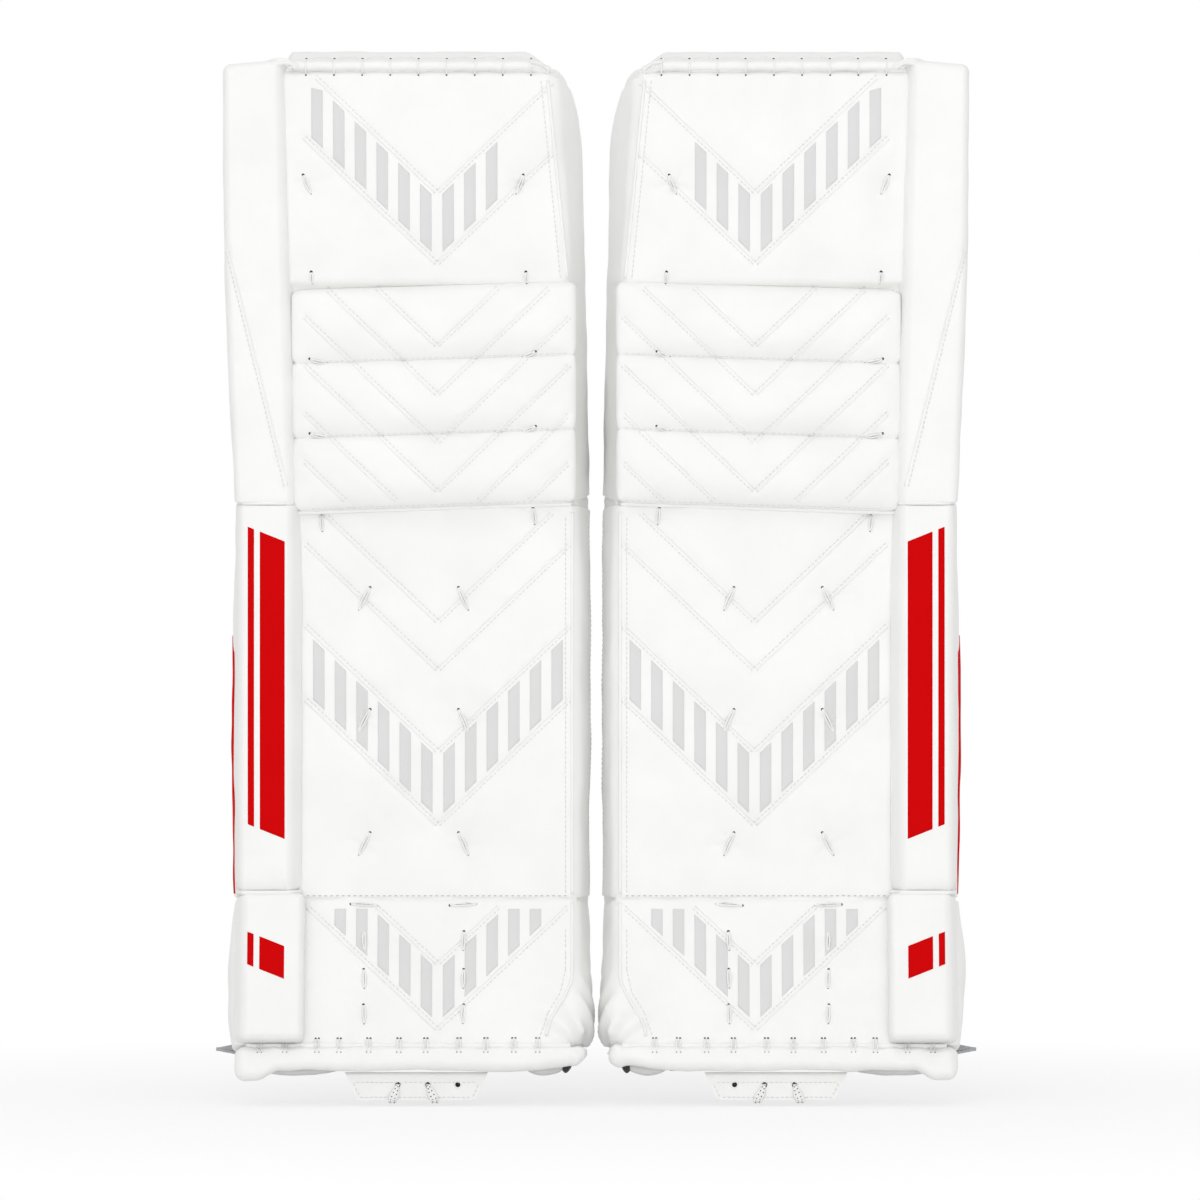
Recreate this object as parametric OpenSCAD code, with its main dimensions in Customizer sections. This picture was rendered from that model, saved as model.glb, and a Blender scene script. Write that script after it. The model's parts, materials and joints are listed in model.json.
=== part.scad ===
// A pair of ice goalie leg pads. The left pad is modelled and the right pad is its mirror image.
// The faces look along -Y, the pads stand along +Z and the plane x = 0 lies midway between them.
// Each pad is three padded sections, thigh, shin and boot, that flex at the knee and boot breaks.

/* [Sections] */
// Width across the shin
pad_width = 279; // [265:1:285]
// Gap between the two pads
pad_gap = 10; // [8:1:60]
// Depth of a section behind its face
body_depth = 48; // [44:1:52]
// Height of the knee break above the lowest point of the toe lace
knee_height = 468; // [450:1:480]
// Height of the boot break above the lowest point of the toe lace
boot_height = 160; // [158:1:168]
// Length of the thigh section above the knee break
thigh_length = 357; // [330:1:390]
// Length of the boot section below the boot break
boot_length = 136; // [130:1:138]
// Forward lean of the thigh section
thigh_lean = 4.5; // [4:0.5:6]
// Forward flare of the boot section
boot_flare = 12; // [11:0.5:13]
// Thickness of a cover
skin = 2; // [1.2:0.2:3]

/* [Face] */
// Width of the outer roll
roll_width = 53; // [46:1:58]
// Rise of the outer roll above the face
roll_rise = 22; // [16:1:24]
// Radius of the outer roll's edges
roll_edge = 10; // [6:1:10]
// Height of one knee roll
knee_roll_height = 58.5; // [52:0.5:60]
// Rise of the knee rolls above the face
knee_roll_rise = 18; // [14:1:20]
// Rise of the thigh panel above the face behind the knee rolls
panel_rise = 13; // [8:1:16]
// Height of the binding along the top edge
binding_height = 13; // [10:1:20]
// Height of the toe roll
toe_roll_height = 19; // [16:1:22]
// Spacing of the lacing along the top and bottom edges
lace_pitch = 22; // [18:1:26]
// Diameter of the lace
lace_d = 2.2; // [1.6:0.2:3]

/* [Wings and straps] */
// Thickness of a wing
wing_t = 10; // [8:1:12]
// Height of the calf wings
calf_wing_height = 230; // [180:5:235]
// Straight run of a calf wing before it curls round the leg
calf_wing_run = 53; // [45:1:60]
// Radius of a calf wing's curl
calf_wing_curl = 45; // [40:1:50]
// Height of the knee wing
knee_wing_height = 74; // [60:1:80]
// Straight run of the knee wing
knee_wing_run = 33; // [28:1:40]
// Radius of the knee wing's curl
knee_wing_curl = 40; // [36:1:44]
// Width of the calf strap
calf_strap_w = 50; // [38:1:60]
// Width of the knee strap
knee_strap_w = 38; // [25:1:45]
// Thickness of the straps
strap_t = 3; // [2:0.5:4]
// Depth of the knee stack behind the back panel
knee_stack_depth = 78; // [60:1:79]

/* [Boot fittings] */
// Width of the boot strap's webbing
webbing_w = 25; // [20:1:28]
// Thickness of the webbing
webbing_t = 2.5; // [1.5:0.5:3]
// Reach of the boot strap's pointed end past the outer edge
strap_tip_reach = 17; // [10:1:30]
// Tilt of the boot strap against the back of the boot
strap_tilt = 32; // [25:1:40]
// Width of the toe bridge at its rolled upper edge
bridge_w = 112; // [100:1:120]
// Thickness of the toe bridge
bridge_t = 3; // [2:0.5:4]
// Diameter of the toe bridge's eyelets
eyelet_d = 4; // [3:0.5:5]
// Spacing of the eyelets
eyelet_pitch = 23.5; // [20:0.5:26]

/* [Hidden] */
$fn = 48;
node = "all";
SIDES = ["left", "right"];
PIECES = [
    "thigh_cover", "thigh_core", "thigh_back", "outer_roll_thigh", "top_binding", "top_lacing",
    "knee_roll_upper", "knee_roll_middle", "knee_roll_lower", "knee_stack",
    "knee_wing", "knee_strap",
    "shin_cover", "shin_core", "shin_back", "outer_roll_shin", "calf_pillow",
    "inner_calf_wing", "outer_calf_wing", "calf_strap",
    "boot_cover", "boot_core", "boot_back", "outer_roll_boot", "toe_roll", "toe_lacing",
    "boot_buckle", "boot_strap", "toe_bridge", "toe_lace"
];
NODES = [for (side = SIDES) for (piece = PIECES) str(side, "_", piece)];

white = "#f3f3f0";
foam = "#d9d6c8";
nylon = "#2b2d31";
grey = "#8d9297";

// Clearance between neighbouring pieces of one section
fit = 0.2;
// Gap left between two sections along the face at a break
break_gap = 0.6;
// Extra opening at the back of the knee break, so that the thigh can bend back
knee_wedge = 5;
// Thickness of the woven back panels
back_t = 2.5;
// Slope of the inner side wall, from the face to the back
wall_slope = 13;
// Radius of the sections' front edges
front_edge = 9;
// Reach of one stitch of the lacing across an edge
lace_span = 9;
// Outward splay of the thigh section over its length
thigh_splay = 8;
// Rise of the outer roll above the top of the thigh cover
roll_over = 6;

x_in = pad_gap / 2;
x_out = x_in + pad_width;
face_in = x_in + wall_slope;
roll_in = x_out - roll_width;
back_y = body_depth + back_t;
roll_top = 3 * knee_roll_height;
cover_top = thigh_length - binding_height;
cover_bottom = -(boot_length - toe_roll_height);

// Hinge lines of the wings, just behind the back panels
hinge_y = back_y + wing_t / 2 + 1;
inner_hinge_x = x_in + 31;
outer_hinge_x = x_out - 34;
calf_wing_z = boot_height + 35;
knee_wing_z = 18;
// Free gap between the calf strap and the inner wing that it closes over
strap_gap = 2;
curl_angle = 75;
// Radius of the piping along a wing's hinge
piping_r = wing_t / 2 + 0.6;

// Toe bridge's hinge, in the boot section's frame and in the pad's frame
bridge_pin_r = 3.2;
bridge_y = 10;
bridge_z = -(boot_length + bridge_pin_r + 0.4);
bridge_hinge_y = bridge_y * cos(boot_flare) + bridge_z * sin(boot_flare);
bridge_hinge_z = boot_height - bridge_y * sin(boot_flare) + bridge_z * cos(boot_flare);
bridge_x = x_in + 136;
// Middle of the toe bridge's thickness: its front is flush with the front of its rolled edge
bridge_mid_y = bridge_hinge_y - bridge_pin_r + bridge_t / 2;
eyelet_z = 15;
eyelet_x = bridge_x - 9;
// The toe lace is thinner than its eyelets, and its rounds reach down to z = 0 under the bridge's lower edge
toe_lace_d = eyelet_d - 1.6;
bridge_foot = toe_lace_d + 0.4;

// The origin lies midway between the outer roll's front and the calf strap's back
front_reach = roll_edge + (roll_rise - roll_edge) * cos(thigh_lean) + (cover_top + roll_over - roll_edge) * sin(thigh_lean);
rear_reach = hinge_y + calf_wing_run + calf_wing_curl + wing_t / 2 + fit + strap_t;
mid_depth = (rear_reach - front_reach) / 2;

// Points of an arc that rounds the corner b between a and c
function unit(v) = v / norm(v);
function turned(v, angle) = [v.x * cos(angle) - v.y * sin(angle), v.x * sin(angle) + v.y * cos(angle)];
function corner(a, b, c, r, steps = 5) =
    r <= 0 ? [b] :
    let (
        to_a = unit(a - b),
        to_c = unit(c - b),
        half = acos(to_a * to_c) / 2,
        centre = b + unit(to_a + to_c) * r / sin(half),
        start = b + to_a * r / tan(half) - centre,
        way = cross(to_a, to_c) > 0 ? -1 : 1
    )
    [for (i = [0 : steps]) centre + turned(start, way * (180 - 2 * half) * i / steps)];
function rounded(points, radii) =
    let (n = len(points))
    [for (i = [0 : n - 1]) each corner(points[(i + n - 1) % n], points[i], points[(i + 1) % n], radii[i])];

// Extrusions along each axis: a plan in x and y, a side profile in y and z, an outline in x and z
module along_z(z0, z1) {
    translate([0, 0, z0]) linear_extrude(z1 - z0) children();
}
module along_x(x0, x1) {
    translate([x0, 0, 0]) rotate([90, 0, 90]) linear_extrude(x1 - x0) children();
}
module along_y(y0, y1) {
    translate([0, y1, 0]) rotate([90, 0, 0]) linear_extrude(y1 - y0) children();
}

module rounded_rect(low, high, r) {
    translate([low.x + r, low.y]) square([high.x - low.x - 2 * r, high.y - low.y]);
    translate([low.x, low.y + r]) square([high.x - low.x, high.y - low.y - 2 * r]);
    for (x = [low.x + r, high.x - r], y = [low.y + r, high.y - r]) translate([x, y]) circle(r);
}

// Block with rounded edges, seen from the front, from the side and from above
module soft_block(low, high, front_r, side_r, plan_r) {
    intersection() {
        along_y(low.y, high.y) rounded_rect([low.x, low.z], [high.x, high.z], front_r);
        along_x(low.x, high.x) rounded_rect([low.y, low.z], [high.y, high.z], side_r);
        along_z(low.z, high.z) rounded_rect([low.x, low.y], [high.x, high.y], plan_r);
    }
}

// The three sections' frames, each with its face on y = 0 and its break on z = 0
module in_thigh() {
    translate([0, 0, knee_height]) rotate([thigh_lean, 0, 0]) children();
}
module in_boot() {
    translate([0, 0, boot_height]) rotate([-boot_flare, 0, 0]) children();
}
module on_side(side) {
    mirror([side == "right" ? 1 : 0, 0, 0]) translate([0, -mid_depth, 0]) children();
}

// Plan of a section: a face with rounded edges, a sloping inner wall and a straight outer wall
function body_plan(inset, depth, outer) = rounded(
    [
        [face_in + inset, inset],
        [outer - inset, inset],
        [outer - inset, depth],
        [x_in + inset + wall_slope * (body_depth - depth) / body_depth, depth]
    ],
    [front_edge - inset, front_edge - inset, 0, 0]
);

// Thigh section: a slab behind the knee rolls and a thicker panel above them
function thigh_outline(inset) = rounded(
    [
        [x_in + inset, inset],
        [x_out - inset, inset],
        [x_out + thigh_splay - inset, cover_top - inset],
        [x_in + thigh_splay + inset, cover_top - inset]
    ],
    [0, 0, 12, 30]
);
function panel_outline(inset) = [
    [face_in + inset, roll_top + 1 + inset],
    [roll_in - 1 + thigh_splay * roll_top / cover_top - inset, roll_top + 1 + inset],
    [roll_in - 1 + thigh_splay - inset, cover_top - inset],
    [face_in + thigh_splay + inset, cover_top - inset]
];
function panel_plan(inset) = rounded(
    [
        [face_in + inset, inset - panel_rise],
        [x_out, inset - panel_rise],
        [x_out, body_depth],
        [face_in + inset, body_depth]
    ],
    [front_edge - inset, 0, 0, 0]
);
function thigh_side(inset, depth) = rounded(
    [
        [inset - panel_rise, break_gap + inset],
        [inset, break_gap + inset],
        [depth, break_gap + inset + knee_wedge],
        [depth, cover_top - inset],
        [inset - panel_rise, cover_top - inset]
    ],
    [0, 0, 0, 0, 4]
);
module thigh_solid(inset, depth) {
    intersection() {
        union() {
            along_z(0, cover_top) polygon(body_plan(inset, depth, x_out + thigh_splay));
            intersection() {
                along_y(-panel_rise, depth) polygon(panel_outline(inset));
                along_z(0, cover_top) polygon(panel_plan(inset));
            }
        }
        along_x(0, x_out + 2 * thigh_splay) polygon(thigh_side(inset, depth));
        along_y(-panel_rise, depth) polygon(thigh_outline(inset));
    }
}
module thigh_cover() {
    color(white) difference() {
        thigh_solid(0, body_depth);
        thigh_solid(skin, body_depth + 1);
    }
}
module thigh_core() {
    color(foam) thigh_solid(skin + fit, body_depth - fit);
}
module thigh_back() {
    color(nylon) along_y(body_depth, back_y) polygon(rounded(
        [
            [x_in + 1, knee_wedge + 2],
            [x_out - 1, knee_wedge + 2],
            [x_out + thigh_splay - 2, cover_top],
            [x_in + thigh_splay + 1, cover_top]
        ],
        [4, 4, 12, 30]
    ));
}

// Knee rolls: three padded bars across the face, counted up from the knee break
module knee_roll(place) {
    z0 = place * knee_roll_height;
    color(white) soft_block(
        [face_in - 3, -knee_roll_rise, z0 + break_gap],
        [roll_in - 1, -fit, z0 + knee_roll_height - break_gap],
        8, 8, 8
    );
}

// Outer roll: a padded bar down the outer edge, split at both breaks
module outer_roll(low_z, high_z) {
    color(white) soft_block([roll_in, -roll_rise, low_z], [x_out, -fit, high_z], roll_edge, roll_edge, roll_edge);
}
module outer_roll_thigh() {
    translate([roll_in, 0, 0]) rotate([0, atan(thigh_splay / cover_top), 0]) translate([-roll_in, 0, 0])
        outer_roll(2.8, cover_top + roll_over);
}
module outer_roll_shin() {
    outer_roll(boot_height + 6, knee_height - 1.6);
}
module outer_roll_boot() {
    outer_roll(cover_bottom + 2, -2.5);
}

// Laced edges: one stitch is a half ring that bridges the edge of the face and the roll beside it
module stitch(span) {
    rotate([90, 0, -90]) rotate_extrude(angle = 180, start = -90) translate([span / 2, 0]) circle(d = lace_d, $fn = 16);
}
module lacing(x0, x1, y, z, tilt) {
    count = floor((x1 - x0) / lace_pitch);
    color(white) for (i = [0 : count]) translate([x0 + i * lace_pitch, y, z]) rotate([tilt, 0, 0]) stitch(lace_span);
}
module top_binding() {
    low = cover_top + fit;
    ends = [x_in + 22, roll_in + 6.5];
    shoulders = [26, 6];
    color(white) intersection() {
        along_y(-panel_rise, back_y) polygon(rounded(
            [
                [ends[0], low],
                [ends[1], low],
                [ends[1] - shoulders[1], thigh_length],
                [ends[0] + shoulders[0], thigh_length]
            ],
            [1, 1, 6, 12]
        ));
        along_x(x_in, x_out) rounded_rect([-panel_rise, low - 2 * binding_height], [back_y, thigh_length], 7.5);
    }
}
module top_lacing() {
    lacing(x_in + 46, roll_in + 4, -panel_rise, cover_top, 0);
}

// Knee stack: three landing blocks side by side, behind the inner edge at the knee
module knee_stack() {
    layer = 14;
    stack_x = x_in + 3;
    stack_z = [12, 100];
    color(nylon) for (i = [0 : 2]) soft_block(
        [stack_x + i * layer, back_y + fit, stack_z[0]],
        [stack_x + (i + 1) * layer - fit, back_y + knee_stack_depth, stack_z[1]],
        4, 10, 4
    );
}

// Wing: a padded flap that runs back from its hinge on the origin and curls towards -X
function arc(centre, r, from, to, steps) =
    [for (i = [0 : steps]) centre + r * turned([1, 0], from + (to - from) * i / steps)];
function wing_plan(run, curl) =
    let (
        half = wing_t / 2,
        centre = [-curl, run],
        tip = centre + curl * turned([1, 0], curl_angle)
    )
    concat(
        arc([0, 0], half, 180, 360, 8),
        arc(centre, curl + half, 0, curl_angle, 12),
        arc(tip, half, curl_angle + 20, curl_angle + 160, 6),
        arc(centre, curl - half, curl_angle, 0, 12)
    );
module wing(run, curl, height) {
    tip_corner = 22;
    color(white) {
        intersection() {
            along_z(-1, height + 1) polygon(wing_plan(run, curl));
            along_x(-2 * curl, 2 * curl)
                rounded_rect([-3 * tip_corner, 0], [run + curl + wing_t, height], tip_corner);
        }
        translate([0, 0, 1]) cylinder(h = height - 2, r = piping_r);
    }
}
// Strap: follows the outside of a wing's curl, runs along -X and may hook round the far wing
module strap(run, curl, reach, hook, width, z) {
    inside = curl + wing_t / 2 + fit;
    color(nylon) translate([-curl, run, z]) {
        rotate_extrude(angle = 55, start = 35) translate([inside, 0]) square([strap_t, width]);
        translate([-reach, inside, 0]) cube([reach, strap_t, width]);
        if (hook > 0)
            translate([-reach, 0, 0]) rotate_extrude(angle = hook, start = 90)
                translate([inside, 0]) square([strap_t, width]);
    }
}
module outer_calf_wing() {
    translate([outer_hinge_x, hinge_y, calf_wing_z]) wing(calf_wing_run, calf_wing_curl, calf_wing_height);
}
module inner_calf_wing() {
    translate([inner_hinge_x, hinge_y, calf_wing_z]) mirror([1, 0, 0])
        wing(calf_wing_run - strap_gap, calf_wing_curl, calf_wing_height);
}
module calf_strap() {
    translate([outer_hinge_x, hinge_y, calf_wing_z])
        strap(
            calf_wing_run, calf_wing_curl, outer_hinge_x - inner_hinge_x - 2 * calf_wing_curl, 35,
            calf_strap_w, (calf_wing_height - calf_strap_w) / 2
        );
}
module knee_wing() {
    translate([outer_hinge_x, hinge_y, knee_wing_z]) wing(knee_wing_run, knee_wing_curl, knee_wing_height);
}
module knee_strap() {
    translate([outer_hinge_x, hinge_y, knee_wing_z])
        strap(
            knee_wing_run, knee_wing_curl, outer_hinge_x - knee_wing_curl - x_in - 12, 0,
            knee_strap_w, (knee_wing_height - knee_strap_w) / 2
        );
}

// Shin section: a straight slab between the breaks
function shin_side(inset, depth) = [
    [inset, boot_height + break_gap + inset],
    [depth, boot_height + break_gap + inset],
    [depth, knee_height - break_gap - inset],
    [inset, knee_height - break_gap - inset]
];
module shin_solid(inset, depth) {
    intersection() {
        along_z(boot_height, knee_height) polygon(body_plan(inset, depth, x_out));
        along_x(0, x_out) polygon(shin_side(inset, depth));
    }
}
module shin_cover() {
    color(white) difference() {
        shin_solid(0, body_depth);
        shin_solid(skin, body_depth + 1);
    }
}
module shin_core() {
    color(foam) shin_solid(skin + fit, body_depth - fit);
}
module shin_back() {
    color(nylon) along_y(body_depth, back_y)
        rounded_rect([x_in + 1, boot_height + 2], [x_out - 1, knee_height - 2], 4);
}
module calf_pillow() {
    width = 112;
    middle = (inner_hinge_x + outer_hinge_x) / 2;
    color(nylon) soft_block(
        [middle - width / 2, back_y, boot_height + 22],
        [middle + width / 2, back_y + 12, knee_height - 26],
        24, 5, 5
    );
}

// Boot section: a flared slab above the toe roll
function boot_outline(inset) = rounded(
    [
        [x_in + inset, cover_bottom + inset],
        [x_out - inset, cover_bottom + inset],
        [x_out - inset, -break_gap - inset],
        [x_in + inset, -break_gap - inset]
    ],
    [14, 6, 0, 0]
);
module boot_solid(inset, depth) {
    intersection() {
        along_z(cover_bottom, 0) polygon(body_plan(inset, depth, x_out));
        along_y(inset, depth) polygon(boot_outline(inset));
    }
}
module boot_cover() {
    color(white) difference() {
        boot_solid(0, body_depth);
        boot_solid(skin, body_depth + 1);
    }
}
module boot_core() {
    color(foam) boot_solid(skin + fit, body_depth - fit);
}
module boot_back() {
    color(nylon) along_y(body_depth, back_y)
        rounded_rect([x_in + 1, cover_bottom + 1], [x_out - 1, -2], 6);
}

// Toe roll: a padded bar under the boot, with a fuller outer end
module toe_roll() {
    lobe_w = 26;
    lobe_drop = 11;
    color(white) {
        soft_block([x_in + 9, -7, -boot_length], [x_out - 4, body_depth - 2, cover_bottom - fit], 9, 9, 9);
        soft_block(
            [x_out - lobe_w, -6, -boot_length - lobe_drop],
            [x_out, body_depth / 2, cover_bottom - fit],
            12, 12, 12
        );
    }
}
module toe_lacing() {
    // The stitches lean forward, from the face above to the rounded edge of the toe roll below
    lean = 32;
    lacing(face_in + 20, roll_in - 8, -lace_span / 2 * sin(lean) - 0.8, cover_bottom, -lean);
}

// Boot strap's frame: tilted against the back of the boot, with the strap along X
clip_x = x_in + 95;
clip_len = 44;
clip_w = webbing_w + 8;
clip_h = 9;
clip_wall = 2;
clip_edge = 2.4;
clip_play = 0.4;
// Bars that the webbing is sewn round, and the slots that it passes through
bar_w = 3.5;
bar_t = 3.6;
slot_l = 4.5;
slot_w = webbing_w + 1;
fold = 24;
module in_strap() {
    translate([0, back_y + 1 + clip_w / 2 * cos(strap_tilt) + clip_h / 2, cover_bottom + 8])
        rotate([strap_tilt, 0, 0]) children();
}
// Moulded block: an outline in x and y, with its long edges rounded
module moulded(x0, x1) {
    intersection() {
        along_z(-clip_h / 2, clip_h / 2) children();
        along_x(x0, x1) rounded_rect([-clip_w / 2, -clip_h / 2], [clip_w / 2, clip_h / 2], clip_edge);
    }
}
// Webbing turned round a bar at x0 to x1
module webbing_loop(x0, x1) {
    bite = 0.1;
    along_y(-webbing_w / 2, webbing_w / 2) difference() {
        rounded_rect([x0 - webbing_t, -bar_t / 2 - webbing_t], [x1 + webbing_t, bar_t / 2 + webbing_t], webbing_t + 1);
        rounded_rect([x0 + bite, -bar_t / 2 + bite], [x1 - bite, bar_t / 2 - bite], 0.8);
    }
}
// Side-release buckle: the hollow housing, with a window in each side for a prong, stays sewn to the boot
module buckle_housing() {
    throat = clip_x + bar_w + slot_l + 3;
    window = [clip_x + 19, clip_x + 33];
    difference() {
        moulded(clip_x, clip_x + clip_len) polygon(rounded(
            [
                [clip_x, -clip_w / 2],
                [clip_x + clip_len, -clip_w / 2],
                [clip_x + clip_len, clip_w / 2],
                [clip_x, clip_w / 2]
            ],
            [4, 1, 1, 4]
        ));
        translate([clip_x - 1, -slot_w / 2, -clip_h]) cube([1 + bar_w + slot_l, slot_w, 2 * clip_h]);
        translate([throat, -clip_w / 2 + clip_wall, -clip_h / 2 + clip_wall])
            cube([clip_len, clip_w - 2 * clip_wall, clip_h - 2 * clip_wall]);
        for (side = [-1, 1])
            translate([window[0], side * clip_w / 2 - clip_wall - 1, -clip_h / 2 + clip_wall])
                cube([window[1] - window[0], 2 * clip_wall + 2, clip_h - 2 * clip_wall]);
        // Thumb hollow in the mouth's two broad sides
        translate([clip_x + clip_len + 2, 0, -clip_h]) cylinder(h = 2 * clip_h, r = 9);
    }
    translate([clip_x, -slot_w / 2 - 0.5, -bar_t / 2]) cube([bar_w, slot_w + 1, bar_t]);
}
module boot_buckle() {
    color(nylon) {
        in_strap() {
            buckle_housing();
            webbing_loop(clip_x, clip_x + bar_w);
            translate([clip_x - 30, -webbing_w / 2, -webbing_t / 2]) cube([29, webbing_w, webbing_t]);
            translate([clip_x - fold, -webbing_w / 2, webbing_t / 2 - 0.1]) cube([fold - 1, webbing_w, webbing_t]);
        }
        along_x(clip_x - 42, clip_x - 30) polygon([
            [back_y, cover_bottom - 12],
            [back_y + 1.5, cover_bottom - 12],
            [back_y + 34, cover_bottom + 18],
            [back_y + 34, cover_bottom + 22],
            [back_y, cover_bottom - 8]
        ]);
    }
}
// Boot strap: a clip with two barbed prongs and a guide, sewn to webbing with a pointed end
clip_base = clip_x + clip_len + 1;
clip_base_len = 5 + slot_l + bar_w;
module clip_prong(side) {
    h = clip_h / 2 - clip_wall - clip_play;
    reach = clip_w / 2 - clip_wall - clip_play;
    mirror([0, side < 0 ? 1 : 0, 0]) along_z(-h, h) polygon(rounded(
        [
            [clip_base + 1, reach - 6.4],
            [clip_base + 1, reach - 2],
            [clip_base - 16.5, reach - 2.6],
            [clip_base - 17.5, reach],
            [clip_base - 24, reach],
            [clip_base - 30, reach - 3.4],
            [clip_base - 30, reach - 5.6],
            [clip_base - 21, reach - 5.6]
        ],
        [0, 0, 0.5, 0.6, 5, 0.8, 0.8, 6]
    ));
}
module clip() {
    h = clip_h / 2 - clip_wall - clip_play;
    end = clip_base + clip_base_len;
    difference() {
        moulded(clip_base, end) polygon(rounded(
            [
                [clip_base, -clip_w / 2],
                [end, -clip_w / 2],
                [end, clip_w / 2],
                [clip_base, clip_w / 2]
            ],
            [1, 4, 4, 1]
        ));
        translate([clip_base + 5, -slot_w / 2, -clip_h]) cube([slot_l + bar_w + 1, slot_w, 2 * clip_h]);
    }
    translate([end - bar_w, -slot_w / 2 - 0.5, -bar_t / 2]) cube([bar_w, slot_w + 1, bar_t]);
    for (side = [-1, 1]) clip_prong(side);
    along_z(-h, h) polygon(rounded(
        [[clip_base + 1, -3], [clip_base + 1, 3], [clip_base - 26, 2], [clip_base - 26, -2]],
        [0, 0, 1.8, 1.8]
    ));
}
module boot_strap() {
    end = clip_base + clip_base_len;
    tip_x = x_out + strap_tip_reach;
    taper = 26;
    color(grey) in_strap() {
        clip();
        webbing_loop(end - bar_w, end);
        along_z(-webbing_t / 2, webbing_t / 2) polygon([
            [end + 1, -webbing_w / 2],
            [tip_x - taper, -webbing_w / 2],
            [tip_x, 0],
            [tip_x - taper, webbing_w / 2],
            [end + 1, webbing_w / 2]
        ]);
        translate([end + 1, -webbing_w / 2, webbing_t / 2 - 0.1]) cube([fold, webbing_w, webbing_t]);
    }
}

// Toe bridge: a tab with a rolled upper edge and three eyelets, hung under the toe roll
module toe_bridge() {
    taper = 10;
    top = bridge_hinge_z + bridge_pin_r;
    color(white) intersection() {
        along_y(bridge_mid_y - 2 * bridge_pin_r, bridge_mid_y + 4 * bridge_pin_r) polygon(rounded(
            [
                [bridge_x - bridge_w / 2 + taper, bridge_foot],
                [bridge_x + bridge_w / 2 - taper, bridge_foot],
                [bridge_x + bridge_w / 2, top],
                [bridge_x - bridge_w / 2, top]
            ],
            [3, 3, 0, 0]
        ));
        difference() {
            union() {
                translate([bridge_x - bridge_w / 2, bridge_hinge_y, bridge_hinge_z]) rotate([0, 90, 0])
                    cylinder(h = bridge_w, r = bridge_pin_r);
                translate([bridge_x - bridge_w / 2, bridge_mid_y - bridge_t / 2, 0])
                    cube([bridge_w, bridge_t, bridge_hinge_z]);
            }
            for (i = [-1 : 1])
                translate([eyelet_x + i * eyelet_pitch, bridge_mid_y - bridge_t, eyelet_z]) rotate([-90, 0, 0])
                    cylinder(h = 2 * bridge_t, d = eyelet_d);
        }
    }
}
// Toe lace: two rounds through the eyelets and over the bridge's lower edge
module toe_lace() {
    ring = (eyelet_z - toe_lace_d / 2) / 2;
    color(grey) for (i = [0, 1])
        translate([eyelet_x + i * eyelet_pitch, bridge_mid_y, eyelet_z - ring])
            rotate([0, 90, 0]) rotate_extrude() translate([ring, 0]) circle(d = toe_lace_d, $fn = 16);
}

for (side = SIDES) on_side(side) {
    wanted = function (piece) node == "all" || node == str(side, "_", piece);
    in_thigh() {
        if (wanted("thigh_cover")) thigh_cover();
        if (wanted("thigh_core")) thigh_core();
        if (wanted("thigh_back")) thigh_back();
        if (wanted("outer_roll_thigh")) outer_roll_thigh();
        if (wanted("top_binding")) top_binding();
        if (wanted("top_lacing")) top_lacing();
        if (wanted("knee_roll_upper")) knee_roll(2);
        if (wanted("knee_roll_middle")) knee_roll(1);
        if (wanted("knee_roll_lower")) knee_roll(0);
        if (wanted("knee_stack")) knee_stack();
        if (wanted("knee_wing")) knee_wing();
        if (wanted("knee_strap")) knee_strap();
    }
    if (wanted("shin_cover")) shin_cover();
    if (wanted("shin_core")) shin_core();
    if (wanted("shin_back")) shin_back();
    if (wanted("outer_roll_shin")) outer_roll_shin();
    if (wanted("calf_pillow")) calf_pillow();
    if (wanted("inner_calf_wing")) inner_calf_wing();
    if (wanted("outer_calf_wing")) outer_calf_wing();
    if (wanted("calf_strap")) calf_strap();
    in_boot() {
        if (wanted("boot_cover")) boot_cover();
        if (wanted("boot_core")) boot_core();
        if (wanted("boot_back")) boot_back();
        if (wanted("outer_roll_boot")) outer_roll_boot();
        if (wanted("toe_roll")) toe_roll();
        if (wanted("toe_lacing")) toe_lacing();
        if (wanted("boot_buckle")) boot_buckle();
        if (wanted("boot_strap")) boot_strap();
    }
    if (wanted("toe_bridge")) toe_bridge();
    if (wanted("toe_lace")) toe_lace();
}
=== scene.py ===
"""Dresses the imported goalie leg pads: padded leather, seams, lacing, nylon backs, straps and light.

Shapes are worked out in millimetres for the left pad, in the frame of each section, and are mirrored
for the right pad. Every frame has the section's face on y = 0. The thigh's and the boot's have their
break on z = 0, and the shin's stands on the ground.
"""
import json
import math

import bmesh
import bpy
import numpy as np
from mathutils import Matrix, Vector
from mathutils.bvhtree import BVHTree


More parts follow.
